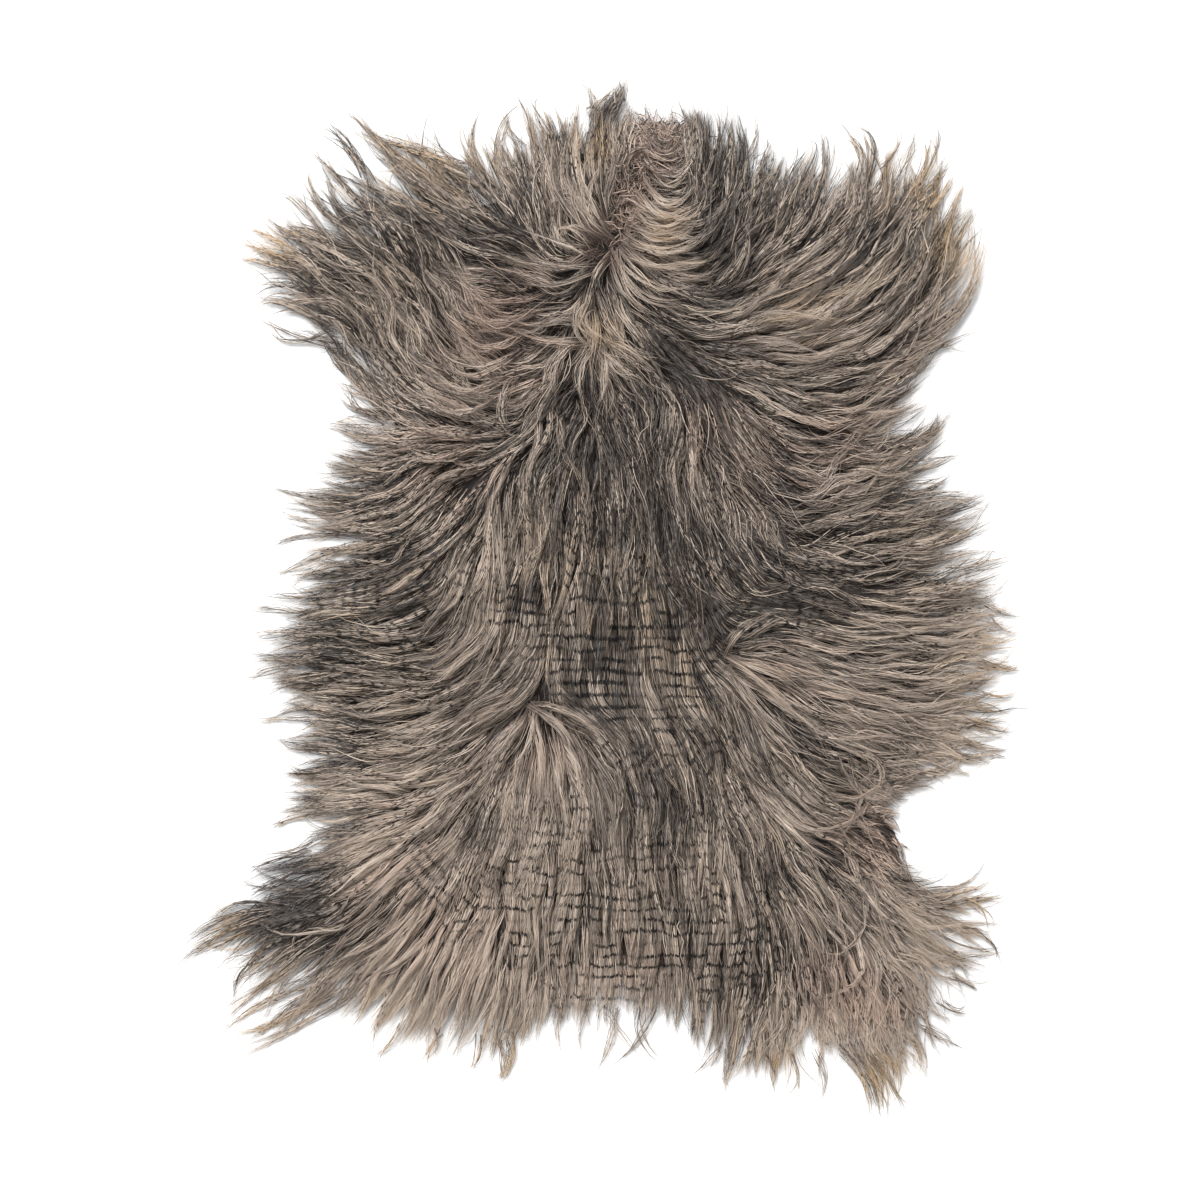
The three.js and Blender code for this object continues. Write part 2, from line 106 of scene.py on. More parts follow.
# The way the hair is combed, in mm across and down the picture from its top left corner, with the
# heading from root to tip in degrees anticlockwise from the picture's right.
COMBING = (
    # Left foreleg and shoulder
    (300, 230, 152), (340, 190, 130), (380, 170, 140), (440, 160, 142), (470, 130, 110),
    (470, 190, 150), (420, 230, 148), (350, 240, 150), (275, 260, 162), (265, 300, 168),
    (300, 290, 153), (330, 320, 150), (350, 350, 130), (370, 370, 127), (400, 300, 140),
    (450, 340, 120), (430, 345, 120), (410, 310, 112), (460, 380, 150), (500, 395, 170),
    (350, 425, 172), (315, 430, 150), (340, 395, 120), (375, 450, 182), (350, 485, 182),
    (310, 490, 165), (350, 530, 190), (440, 320, 110), (425, 280, 106), (412, 250, 125),
    (470, 360, 128), (482, 330, 138), (456, 296, 122), (446, 268, 122), (500, 364, 160),
    (480, 408, 166), (458, 406, 150), (440, 380, 130), (420, 350, 114), (404, 330, 118),
    # Left of the middle
    (450, 400, 155), (450, 440, 172), (475, 465, 195), (430, 490, 217), (470, 500, 240),
    (500, 500, 265), (530, 500, 277),
    # Neck
    (540, 215, 106), (575, 225, 98), (565, 150, 97), (600, 125, 80), (580, 110, 95),
    (530, 165, 101), (500, 190, 116), (470, 200, 148), (500, 245, 160), (490, 275, 175),
    (540, 290, 167), (525, 320, 182), (550, 350, 207), (570, 375, 240), (600, 375, 287),
    (625, 370, 310), (550, 415, 240), (580, 430, 260), (620, 430, 290), (515, 500, 270),
    (600, 500, 270),
    # Parting below the neck and the middle of the right side
    (608, 235, 125), (612, 215, 108), (618, 180, 98), (624, 150, 92), (604, 256, 190),
    (617, 262, 285), (636, 232, 318), (634, 195, 312), (642, 165, 320), (652, 142, 330),
    (650, 118, 85), (632, 205, 305), (655, 205, 350), (694, 200, 78), (650, 220, 355),
    (650, 250, 345), (625, 285, 300), (650, 290, 335), (675, 320, 340), (625, 300, 300),
    (660, 340, 320), (715, 330, 10), (750, 310, 22), (750, 350, 355), (740, 380, 342),
    (715, 400, 300), (695, 430, 272), (675, 430, 255), (730, 440, 310), (765, 415, 335),
    (810, 430, 350), (775, 465, 330), (840, 430, 5), (880, 420, 20), (920, 430, 45),
    (925, 465, 20), (850, 475, 2), (825, 515, 22), (900, 500, 10), (925, 530, 20),
    # Right shoulder and foreleg
    (726, 265, 58), (730, 225, 74), (712, 180, 92), (700, 150, 90), (700, 125, 92),
    (725, 150, 85), (745, 175, 75), (775, 175, 67), (800, 165, 65), (825, 175, 75),
    (775, 215, 60), (810, 215, 62), (850, 200, 71), (880, 180, 77), (900, 200, 70),
    (775, 260, 40), (825, 250, 46), (860, 250, 55), (800, 300, 28), (850, 280, 40),
    (890, 260, 52), (920, 240, 75), (950, 220, 62), (970, 260, 82), (950, 290, 67),
    (925, 300, 55), (900, 330, 45), (940, 345, 50), (850, 330, 32), (800, 340, 12),
    (825, 375, 17), (880, 370, 30), (850, 395, 25), (962, 320, 72), (935, 322, 62),
    (978, 290, 84), (915, 352, 50), (890, 302, 54), (900, 230, 64),
    # Left flank
    (375, 525, 187), (350, 565, 195), (315, 555, 205), (375, 600, 187), (425, 540, 210),
    (460, 525, 235), (430, 590, 205), (470, 575, 245), (475, 570, 262), (490, 600, 262),
    (325, 625, 182), (275, 625, 178), (375, 650, 172), (425, 670, 178), (470, 650, 225),
    (400, 700, 185), (350, 710, 182), (450, 710, 205), (475, 725, 222), (500, 700, 197),
    (510, 735, 240), (540, 750, 262), (565, 740, 295), (580, 715, 340), (600, 740, 310),
    (325, 750, 180), (375, 770, 182), (400, 790, 184), (450, 770, 207),
    # Left hind leg and rump
    (625, 775, 285), (430, 820, 215), (375, 825, 202), (325, 840, 200), (470, 820, 232),
    (500, 820, 250), (530, 820, 262), (575, 820, 269), (615, 820, 275), (400, 870, 220),
    (350, 880, 207), (300, 880, 199), (275, 925, 205), (325, 925, 208), (375, 930, 215),
    (425, 910, 232), (460, 900, 245), (500, 900, 260), (540, 925, 268), (590, 930, 270),
    (285, 980, 220), (325, 980, 228), (375, 990, 238), (425, 990, 247), (475, 1000, 255),
    (525, 990, 262), (590, 990, 270), (450, 950, 243), (225, 940, 208),
    # Middle
    (625, 550, 268), (650, 590, 282), (675, 590, 290), (700, 625, 290), (630, 625, 268),
    (660, 665, 275), (710, 530, 285), (750, 530, 300), (740, 560, 310), (600, 600, 268),
    (560, 600, 265), (600, 670, 268), (630, 710, 300), (690, 720, 310), (630, 750, 295),
    (660, 750, 285), (700, 750, 280),
    # Right flank
    (775, 550, 325), (815, 530, 10), (810, 565, 0), (850, 565, 7), (900, 560, 7), (950, 550, 20),
    (745, 635, 30), (765, 615, 0), (785, 630, 340), (825, 605, 350), (875, 610, 355),
    (950, 610, 5), (750, 665, 340), (800, 665, 345), (775, 690, 325), (750, 700, 310),
    (730, 710, 290), (825, 700, 340), (875, 665, 352), (925, 665, 2), (975, 670, 5),
    (875, 710, 347), (940, 710, 358), (900, 740, 345), (950, 735, 2), (850, 740, 335),
    (800, 735, 325), (725, 775, 285), (765, 780, 310), (800, 780, 320), (830, 780, 340),
    (860, 765, 330), (880, 780, 0), (910, 780, 10),
    # Right hind leg
    (820, 825, 350), (850, 840, 325), (880, 870, 325), (920, 890, 345), (970, 895, 10),
    (625, 820, 270), (660, 820, 268), (700, 840, 272), (740, 850, 280), (775, 860, 290),
    (810, 870, 305), (840, 910, 310), (880, 925, 318), (920, 940, 330), (950, 935, 345),
    (900, 980, 305), (930, 980, 312), (850, 970, 290), (815, 950, 280), (775, 950, 270),
    (740, 950, 265), (700, 950, 268), (650, 950, 270), (615, 950, 270), (750, 1010, 260),
    (715, 1010, 268), (790, 1020, 262), (835, 1020, 285), (870, 1025, 285), (910, 1025, 290),
    (880, 1050, 280),
)

# Where the coat is darker or, below 0, paler than its usual taupe: mostly the hair's own colour,
# but the dark places in its partings and in the valleys between masses of hair are painted shade.
# In this and the next charts a row has the place in the picture, a radius in mm and an amount.
TONES = (
    # Broad places all over
    (610, 430, 60, 0.48), (610, 640, 56, 0.45), (712, 220, 44, 0.45), (710, 130, 26, 0.4),
    (470, 310, 60, 0.25), (780, 590, 50, 0.55), (480, 220, 40, 0.25), (282, 898, 40, 1.4),
    (680, 620, 44, 0.42), (668, 368, 34, 0.4), (664, 790, 34, 0.35), (340, 620, 44, -0.4),
    (760, 690, 40, 0.15), (600, 295, 40, 0.15), (800, 880, 44, 0.15), (460, 910, 80, -0.3),
    (560, 900, 60, -0.35), (820, 1010, 50, -0.2), (420, 740, 76, -0.45), (920, 930, 90, -0.2),
    (830, 1020, 70, -0.4), (920, 660, 80, -0.28), (405, 815, 44, -0.2), (680, 920, 50, -0.12),
    # Neck and shoulders
    (610, 112, 20, 1.0), (715, 130, 22, 0.4), (716, 175, 24, 0.7), (722, 215, 24, 0.8),
    (718, 258, 26, 0.9), (712, 300, 20, 0.8), (750, 225, 22, 0.4), (690, 210, 10, 0.5),
    (528, 200, 18, 0.8), (540, 160, 16, 0.5), (553, 138, 14, 0.6), (520, 235, 18, 0.6),
    (505, 272, 16, 0.6),
    (660, 345, 18, 1.1), (676, 362, 20, 1.4), (700, 392, 18, 0.9), (590, 292, 12, 0.5),
    (858, 248, 24, 0.9), (925, 262, 18, 0.5), (808, 205, 22, 0.6), (412, 262, 14, 0.7),
    (416, 310, 16, 0.7), (350, 212, 30, 0.6), (320, 285, 30, 0.4), (480, 240, 20, 0.6),
    (840, 385, 22, 0.3), (350, 350, 24, 0.5), (375, 250, 18, 0.4), (740, 400, 16, 0.4),
    (660, 232, 26, -1.1), (692, 275, 16, -0.5), (592, 165, 20, -0.7), (570, 235, 14, -0.6),
    (597, 335, 16, -1.0), (775, 330, 34, -0.4), (800, 298, 24, -0.4), (545, 260, 16, -0.2),
    (430, 170, 24, -0.4), (262, 245, 20, -0.5), (965, 260, 24, -0.7), (905, 165, 24, -0.4),
    (470, 350, 24, -0.3),
    # Middle
    (572, 400, 20, 0.9), (575, 450, 22, 0.9), (642, 455, 22, 1.1), (605, 475, 16, 0.5),
    (612, 530, 22, 0.8), (650, 512, 26, 1.1), (690, 545, 22, 1.1), (706, 595, 16, 0.8),
    (755, 565, 32, 1.0), (530, 590, 14, 0.9), (536, 606, 12, 0.7), (575, 684, 13, 0.3),
    (545, 700, 10, 0.6), (575, 704, 11, 0.8), (608, 713, 11, 0.8), (640, 744, 13, 0.8),
    (606, 655, 18, 0.35), (604, 590, 14, 0.6), (500, 470, 20, 0.3),
    (640, 400, 18, 0.5), (720, 640, 14, 0.6),
    (462, 420, 22, -0.5), (390, 440, 20, -0.2), (682, 432, 16, -0.4), (440, 380, 20, -0.3),
    (490, 570, 13, -0.6), (662, 650, 18, -0.5), (494, 622, 14, -0.5), (500, 520, 14, -0.3),
    # Left flank and hind leg
    (335, 600, 36, 0.9), (340, 655, 36, 0.9), (400, 640, 36, 0.6), (350, 745, 28, 1.1),
    (365, 500, 34, 0.5), (400, 560, 36, 0.5), (290, 890, 28, 1.5), (255, 908, 18, 0.9),
    (335, 905, 24, 0.4), (484, 820, 16, 0.9), (440, 690, 26, 0.3), (300, 800, 20, 0.5),
    (385, 850, 28, -0.7), (460, 930, 40, -0.6), (500, 985, 30, -0.4), (400, 1000, 40, -0.6),
    (300, 980, 30, -0.4), (455, 600, 16, -0.3),
    # Rump
    (668, 815, 15, 0.9), (656, 778, 14, 0.8), (672, 850, 13, 0.8),
    (762, 925, 22, 0.8), (770, 880, 18, 0.6), (756, 970, 20, 0.5), (608, 900, 14, 0.6),
    (720, 740, 20, 0.5), (560, 930, 18, 0.3), (500, 880, 16, 0.4), (700, 760, 18, 0.4),
    (550, 755, 24, -0.8), (520, 800, 20, -0.5), (600, 1010, 40, -0.5), (540, 840, 16, -0.4),
    (640, 950, 24, -0.3), (780, 1060, 30, -0.4), (430, 1040, 30, -0.4),
    # Right flank and hind leg
    (800, 600, 16, 0.9), (838, 604, 18, 0.8), (872, 565, 18, 0.6), (785, 455, 16, 0.4),
    (790, 490, 20, 0.6), (895, 505, 22, 0.3), (806, 742, 20, 0.9), (834, 760, 14, 0.6),
    (850, 862, 26, 0.5), (815, 985, 20, 0.6), (885, 825, 14, 0.8), (850, 655, 24, 0.4),
    (760, 680, 26, -0.55), (745, 664, 16, -0.5), (950, 740, 30, -0.6), (985, 640, 34, -0.5),
    (872, 792, 16, -0.6), (930, 950, 40, -0.5), (885, 1060, 36, -0.6), (860, 745, 18, -0.3),
    (980, 900, 30, -0.5),
)

# Where the hair is golden or, below 0, pinkish.
TINTS = (
    (262, 245, 32, 1.0), (420, 165, 40, 0.6), (460, 150, 26, 0.5), (400, 1040, 60, 0.4),
    (510, 1050, 50, 0.4), (600, 150, 22, 0.6),
    (580, 120, 20, 0.5), (962, 250, 36, 1.0), (930, 180, 32, 0.7), (880, 150, 30, 0.6),
    (662, 235, 22, 0.5), (600, 335, 22, 0.5), (800, 310, 40, 0.3), (230, 960, 35, 0.8),
    (230, 1030, 32, 0.8), (890, 1080, 36, 0.6), (1000, 900, 34, 0.6), (990, 690, 44, 0.4),
    (780, 1070, 30, 0.5), (610, 1050, 40, 0.3),
    (645, 165, 26, -1.0), (632, 205, 18, -1.0), (604, 255, 22, -0.8), (500, 305, 46, -0.7),
    (500, 360, 50, -0.6), (430, 440, 50, -0.5), (475, 475, 40, -0.4), (550, 760, 50, -0.4),
    (400, 850, 70, -0.3), (440, 970, 70, -0.4), (620, 980, 60, -0.4), (870, 845, 40, -1.0),
    (830, 980, 40, -0.8), (880, 1010, 36, -0.6), (700, 430, 40, -0.5), (760, 480, 50, -0.4),
    (610, 560, 90, 0.15), (640, 660, 70, 0.2), (330, 620, 60, 0.2), (480, 430, 30, 0.3),
    (770, 672, 30, -0.5), (830, 440, 50, -0.5), (860, 700, 50, -0.3), (560, 400, 30, -0.3),
)

# Where more dark dashes cross the hair than elsewhere or, below 0, fewer.
DASHES = (
    (560, 860, 110, 0.5), (690, 880, 80, 0.5), (620, 620, 100, 0.6), (390, 570, 90, 0.5),
    (440, 590, 60, 0.4), (535, 620, 36, 0.5), (700, 620, 50, 0.5), (500, 870, 26, 0.6),
    (566, 910, 22, 0.6),
    (330, 230, 70, 0.5), (560, 150, 50, 0.5), (800, 210, 70, 0.3), (440, 900, 70, 0.3),
    (640, 480, 70, 0.4), (440, 470, 60, 0.4), (730, 590, 50, 0.4), (420, 250, 60, 0.4),
    (320, 650, 60, 0.3), (880, 650, 90, -0.35), (890, 960, 80, -0.3), (760, 680, 40, -0.5),
    (715, 180, 50, 0.5), (640, 110, 40, 0.4),
    (660, 230, 40, -0.5), (560, 350, 50, -0.4), (545, 750, 30, -0.4),
    (410, 930, 60, -0.7), (450, 1000, 50, -0.6), (520, 1010, 40, -0.4), (640, 1010, 50, -0.3),
    (370, 820, 40, -0.3), (480, 890, 26, 0.4), (530, 960, 26, 0.4),
)

# Where the dashes stand in rows, from 0 to 1.
ROWS = (
    (570, 860, 110, 1.0), (690, 900, 80, 1.0), (620, 600, 90, 0.9), (480, 880, 70, 0.35),
    (430, 590, 60, 0.8), (660, 640, 80, 0.9),
    (520, 560, 60, 0.6), (560, 150, 50, 0.5), (330, 220, 50, 0.5), (700, 590, 50, 0.6),
)

# Where the hair lies sleek, without tufts, from 0 to 1.
SLEEK = (
    (400, 900, 110, 1.0), (560, 900, 110, 1.0), (700, 900, 80, 0.8), (620, 600, 90, 0.7),
    (480, 560, 60, 0.6), (575, 160, 40, 0.7), (880, 300, 70, 0.7), (340, 270, 60, 0.5),
    (900, 660, 80, 0.5), (460, 980, 90, 0.7), (560, 770, 60, 0.7), (780, 330, 50, 0.4),
    (940, 300, 50, 0.6), (720, 180, 30, 0.6), (340, 640, 70, 0.4),
)

# Where the hair waves and curls most, from 0 to 1.
CURLS = (
    (560, 340, 60, 0.8), (650, 210, 50, 0.6), (300, 250, 80, 0.7), (900, 240, 90, 0.6),
    (430, 380, 60, 0.7), (860, 780, 60, 1.0), (770, 470, 60, 0.9), (880, 950, 80, 0.6),
    (250, 930, 70, 0.6), (950, 650, 60, 0.5), (860, 1050, 60, 0.6), (480, 130, 60, 0.6),
)

# Single locks that stand out at the rim: their root, middle and tip in the picture, a number of hairs,
# and how pale or, below 0, how dark they are.
RIM_LOCKS = (
    # Left foreleg
    (430, 185, 385, 150, 345, 118, 10, 0.5), (470, 165, 405, 146, 362, 132, 12, 0.6),
    (410, 180, 370, 135, 330, 108, 8, 0.3), (375, 190, 348, 150, 312, 128, 10, -0.8),
    (365, 175, 345, 140, 318, 118, 8, -0.7), (345, 190, 325, 165, 315, 148, 8, -0.3),
    (330, 215, 310, 190, 303, 172, 6, 0.2), (330, 235, 300, 205, 273, 190, 8, 0.4),
    (480, 175, 470, 140, 478, 108, 8, 0.5), (490, 180, 468, 145, 468, 115, 8, 0.2),
    (500, 165, 508, 125, 522, 97, 6, 0.2), (520, 150, 505, 122, 508, 104, 6, 0.0),
    (535, 160, 528, 120, 518, 100, 5, 0.1), (548, 140, 536, 110, 532, 92, 5, 0.0),
    (310, 262, 270, 240, 245, 225, 12, 0.8),
    (300, 268, 258, 250, 233, 232, 10, 0.8), (300, 275, 262, 262, 228, 268, 8, 0.3),
    (320, 300, 280, 285, 250, 290, 8, -0.2), (320, 325, 280, 305, 248, 318, 8, 0.0),
    (335, 335, 285, 342, 262, 312, 6, -0.2), (345, 350, 300, 338, 240, 312, 6, 0.1),
    (385, 410, 362, 378, 325, 342, 12, -0.7), (375, 390, 350, 360, 315, 338, 10, -0.6),
    (380, 420, 352, 400, 340, 378, 6, 0.0), (372, 432, 345, 422, 322, 428, 6, 0.0),
    # Left flank
    (350, 495, 300, 495, 272, 478, 8, -0.3), (350, 505, 305, 502, 278, 492, 6, -0.2),
    (345, 522, 300, 522, 268, 512, 8, 0.0), (345, 535, 300, 538, 264, 550, 8, -0.4),
    (350, 548, 305, 560, 262, 583, 8, -0.1), (355, 560, 310, 575, 285, 592, 6, 0.0),
    (345, 588, 300, 598, 252, 590, 10, 0.1), (310, 612, 275, 610, 245, 608, 6, 0.0),
    (310, 632, 270, 632, 242, 634, 6, 0.0), (300, 665, 265, 672, 245, 682, 6, 0.0),
    (310, 720, 270, 718, 256, 716, 5, 0.0), (320, 748, 290, 745, 268, 738, 6, -0.3),
    (330, 770, 300, 775, 270, 768, 8, -0.5), (330, 798, 300, 808, 275, 812, 6, -0.1),
    (330, 812, 290, 818, 265, 830, 8, -0.2), (320, 838, 290, 850, 262, 852, 6, -0.3),
    (310, 850, 270, 862, 245, 865, 10, -0.4), (300, 870, 265, 885, 248, 895, 8, -0.5),
    # Left hind leg
    (290, 905, 225, 918, 168, 956, 16, 0.3), (280, 915, 220, 932, 170, 972, 14, 0.5),
    (300, 910, 240, 905, 205, 932, 10, -0.4), (270, 900, 225, 925, 182, 938, 8, 0.2),
    (265, 950, 240, 975, 225, 1008, 8, 0.2), (310, 985, 260, 1005, 215, 1040, 10, 0.6),
    (330, 985, 280, 1020, 220, 1035, 12, 0.6), (345, 1000, 290, 1030, 225, 1060, 10, 0.5),
    (300, 1000, 270, 1025, 250, 1045, 8, 0.4), (270, 980, 240, 1005, 222, 1015, 6, 0.3),
    (250, 930, 215, 945, 178, 955, 6, 0.2),
    # Rump
    (400, 1020, 385, 1045, 370, 1062, 6, 0.4), (440, 1025, 430, 1050, 420, 1070, 6, 0.4),
    (480, 1035, 478, 1056, 470, 1070, 5, 0.4), (510, 1035, 508, 1065, 490, 1082, 8, 0.5),
    (500, 1035, 503, 1068, 497, 1080, 6, 0.4), (590, 1000, 580, 1040, 582, 1070, 4, 0.3),
    (615, 1005, 610, 1045, 588, 1075, 6, 0.4), (605, 1005, 622, 1035, 650, 1056, 5, 0.3),
    (640, 1005, 645, 1040, 678, 1060, 6, 0.3), (655, 1010, 635, 1045, 603, 1063, 6, 0.3),
    (560, 1000, 556, 1030, 556, 1052, 5, 0.3), (730, 1050, 722, 1078, 730, 1098, 6, 0.3),
    (720, 1040, 712, 1062, 703, 1072, 5, 0.2), (790, 1050, 798, 1080, 792, 1104, 5, 0.2),
    (815, 1055, 825, 1080, 820, 1102, 6, 0.2), (770, 1050, 772, 1075, 780, 1092, 5, 0.2),
    # Right hind leg
    (850, 1040, 875, 1085, 880, 1118, 14, 0.0), (870, 1045, 893, 1085, 912, 1113, 8, 0.2),
    (840, 1045, 868, 1085, 873, 1119, 12, -0.1), (880, 1045, 895, 1068, 902, 1085, 6, 0.2),
    (925, 1025, 944, 1038, 952, 1050, 6, 0.3), (940, 1000, 958, 1008, 968, 1003, 6, 0.2),
    (950, 975, 972, 986, 985, 988, 6, 0.2), (940, 935, 975, 950, 1000, 945, 8, 0.2),
    (950, 925, 985, 938, 998, 968, 6, 0.1), (920, 900, 960, 895, 1003, 885, 14, 0.2),
    (930, 905, 975, 898, 1015, 903, 10, 0.2), (900, 880, 950, 905, 1012, 890, 8, 0.2),
    (893, 845, 918, 885, 960, 897, 8, -0.3), (960, 900, 982, 912, 998, 930, 6, 0.1),
    # Right flank
    (900, 785, 930, 782, 950, 793, 6, 0.2), (890, 792, 925, 772, 958, 790, 5, 0.2),
    (960, 755, 990, 758, 1012, 758, 6, 0.3), (960, 742, 990, 750, 1020, 751, 6, 0.3),
    (960, 720, 995, 728, 1018, 727, 6, 0.2), (970, 690, 1002, 698, 1026, 688, 6, 0.2),
    (980, 660, 1008, 668, 1027, 664, 6, 0.2), (985, 618, 1008, 630, 1024, 628, 6, 0.2),
    (975, 600, 1003, 612, 1020, 612, 6, 0.2), (960, 572, 985, 562, 1012, 557, 6, 0.2),
    (945, 568, 975, 560, 998, 545, 8, 0.2), (920, 545, 950, 540, 985, 520, 8, 0.2),
    (930, 527, 963, 520, 990, 503, 6, 0.3), (915, 505, 950, 500, 996, 506, 8, 0.3),
    (905, 498, 945, 494, 982, 499, 6, 0.2),
    # Right foreleg
    (890, 428, 915, 416, 942, 397, 6, 0.2), (900, 445, 930, 438, 958, 420, 8, 0.2),
    (905, 470, 935, 462, 966, 455, 6, 0.1), (900, 485, 930, 480, 955, 475, 6, 0.2),
    (900, 345, 960, 310, 982, 240, 24, 0.6), (890, 355, 950, 325, 978, 262, 20, 0.5),
    (920, 330, 965, 290, 984, 215, 18, 0.6), (880, 375, 925, 352, 955, 325, 10, 0.3),
    (930, 300, 965, 260, 972, 210, 14, 0.5), (950, 250, 965, 225, 970, 195, 8, 0.6),
    (930, 250, 955, 205, 962, 178, 8, 0.5), (915, 230, 940, 195, 952, 172, 8, 0.4),
    (905, 215, 935, 180, 957, 159, 8, 0.3), (905, 200, 930, 165, 918, 130, 6, 0.2),
    (915, 190, 932, 152, 930, 127, 6, 0.2), (890, 190, 910, 150, 925, 128, 6, 0.2),
    (865, 180, 870, 142, 847, 125, 8, 0.1), (860, 175, 858, 145, 835, 125, 8, -0.1),
    (880, 170, 898, 146, 897, 127, 5, 0.1), (830, 170, 820, 142, 825, 128, 5, 0.1),
    (800, 180, 812, 155, 808, 140, 5, 0.1), (780, 190, 800, 160, 803, 145, 5, 0.1),
    # Neck
    (745, 160, 755, 140, 750, 106, 6, 0.0), (755, 165, 768, 145, 762, 125, 5, 0.0),
    (694, 175, 696, 135, 690, 96, 16, -0.6), (712, 180, 718, 140, 714, 101, 16, -0.5),
    (726, 180, 733, 145, 728, 104, 14, -0.3), (702, 180, 706, 138, 702, 106, 14, -0.5),
    (605, 115, 618, 95, 623, 76, 22, -0.6),
    (612, 118, 622, 98, 624, 80, 16, -0.7), (590, 115, 603, 100, 618, 90, 12, -0.4),
)

# The same for single locks on the coat.
INNER_LOCKS = (
    # Curls right of the neck's parting, from the top down
    (652, 128, 668, 146, 690, 128, 12, -0.1), (645, 142, 664, 158, 688, 140, 12, 0.0),
    (648, 135, 660, 160, 686, 146, 10, 0.0), (644, 150, 662, 178, 692, 158, 12, 0.1),
    (646, 168, 668, 192, 698, 170, 12, 0.3), (646, 182, 668, 208, 700, 186, 14, 0.5),
    (638, 196, 664, 222, 700, 200, 16, 0.8), (634, 210, 664, 234, 702, 212, 18, 1.0),
    (630, 224, 664, 245, 704, 224, 18, 1.0), (622, 238, 662, 258, 706, 240, 18, 0.9),
    (620, 248, 662, 272, 712, 258, 16, 0.7), (618, 252, 652, 290, 704, 284, 16, 0.8),
    (616, 256, 640, 298, 690, 306, 14, 0.6), (614, 258, 626, 304, 668, 322, 14, 0.6),
    # The smooth tuft at the neck's left
    (600, 236, 566, 180, 580, 112, 24, 0.3), (606, 228, 578, 170, 596, 104, 24, 0.4),
    (596, 240, 556, 190, 562, 124, 20, 0.1), (608, 220, 592, 160, 610, 104, 20, 0.2),
    # Fringe round the crown, up and to the left
    (612, 240, 590, 205, 608, 160, 14, 0.5), (610, 238, 584, 208, 592, 150, 14, 0.5),
    (608, 242, 576, 222, 574, 170, 12, 0.4), (606, 246, 572, 196, 540, 214, 12, 0.6),
    (604, 250, 566, 205, 538, 222, 10, 0.5), (600, 256, 566, 232, 548, 262, 12, 0.4),
    (602, 262, 560, 250, 510, 232, 12, 0.4), (600, 268, 556, 272, 512, 250, 12, 0.3),
    (600, 275, 560, 290, 510, 284, 14, 0.3),
    # Twisted pale lock below the crown, and the locks that leave it
    (588, 300, 580, 330, 604, 352, 18, 1.2), (596, 302, 588, 328, 616, 350, 14, 1.1),
    (604, 344, 632, 358, 662, 384, 14, 0.9), (600, 350, 618, 372, 650, 392, 12, 0.7),
    (590, 335, 556, 326, 520, 342, 12, 0.4), (590, 342, 548, 344, 506, 330, 14, 0.4),
    (580, 345, 556, 366, 552, 400, 14, 0.3), (592, 350, 580, 380, 590, 412, 14, 0.4),
    (604, 352, 606, 384, 598, 420, 14, 0.3),
    # Curls over the left shoulder
    (550, 290, 504, 306, 456, 282, 16, 0.4), (545, 306, 492, 328, 446, 294, 16, 0.4),
    (540, 322, 484, 350, 438, 312, 16, 0.4), (530, 345, 476, 374, 430, 334, 16, 0.4),
    (515, 370, 466, 396, 424, 358, 16, 0.4), (500, 395, 456, 416, 416, 384, 14, 0.4),
    (480, 430, 445, 438, 412, 410, 16, 0.6), (520, 380, 500, 410, 520, 440, 12, 0.3),
    (470, 445, 436, 460, 398, 444, 16, 0.5), (560, 318, 530, 330, 488, 316, 12, 0.3),
    # Pale strands on the right shoulder
    (740, 330, 790, 318, 845, 330, 14, 0.4), (735, 345, 780, 345, 830, 362, 14, 0.3),
    (745, 310, 800, 290, 850, 262, 14, 0.4), (760, 290, 800, 262, 842, 222, 12, 0.3),
    (760, 420, 800, 452, 850, 440, 12, 0.3), (700, 440, 690, 480, 704, 515, 14, 0.4),
    # The dark parting
    (640, 320, 665, 350, 700, 390, 20, -1.0), (625, 315, 650, 345, 670, 370, 16, -0.8),
    # Crowns lower down
    (490, 500, 492, 560, 485, 620, 20, 0.7), (500, 510, 503, 560, 510, 610, 16, 0.5),
    (532, 705, 560, 725, 575, 755, 18, 0.6), (535, 702, 570, 710, 600, 735, 18, 0.6),
    (530, 708, 530, 740, 505, 785, 20, 0.7), (530, 710, 545, 750, 540, 800, 20, 0.6),
    (525, 708, 505, 735, 470, 770, 18, 0.4), (728, 662, 760, 680, 790, 712, 20, 0.9),
    (728, 658, 765, 668, 800, 690, 20, 0.8), (725, 650, 745, 625, 790, 610, 16, 0.6),
    (727, 668, 750, 700, 770, 730, 18, 0.6),
    # Tangle above the notch
    (830, 745, 870, 760, 850, 785, 12, 0.7), (850, 750, 880, 770, 870, 800, 12, 0.8),
    (820, 790, 860, 795, 890, 770, 12, 0.7), (860, 790, 850, 815, 830, 830, 10, 0.5),
    (870, 800, 845, 820, 800, 825, 8, 0.6), (845, 760, 860, 790, 885, 800, 10, 0.6),
    (835, 755, 845, 775, 870, 780, 10, 0.7),
)

# Where short frizz shows: along the neck's parting and the edge above it, in the picture.
FRIZZ = (
    (622, 238), (626, 220), (634, 205), (630, 190), (636, 175), (640, 158), (644, 142), (650, 134),
    (640, 134), (660, 138), (675, 140), (690, 138), (670, 146), (655, 150),
)

# The combed coat's pieces: name, middle in mm in the plan, and the number of rings along each hair.
REGIONS = (
    ("coat_neck", 30, 330, 9),
    ("coat_left_foreleg", -190, 290, 9),
    ("coat_right_foreleg", 215, 270, 8),
    ("coat_left_flank", -170, -20, 7),
    ("coat_middle", 20, 20, 7),
    ("coat_right_flank", 220, -20, 8),
    ("coat_left_hind_leg", -190, -310, 7),
    ("coat_rump", 10, -300, 6),
    ("coat_right_hind_leg", 210, -310, 8),
)


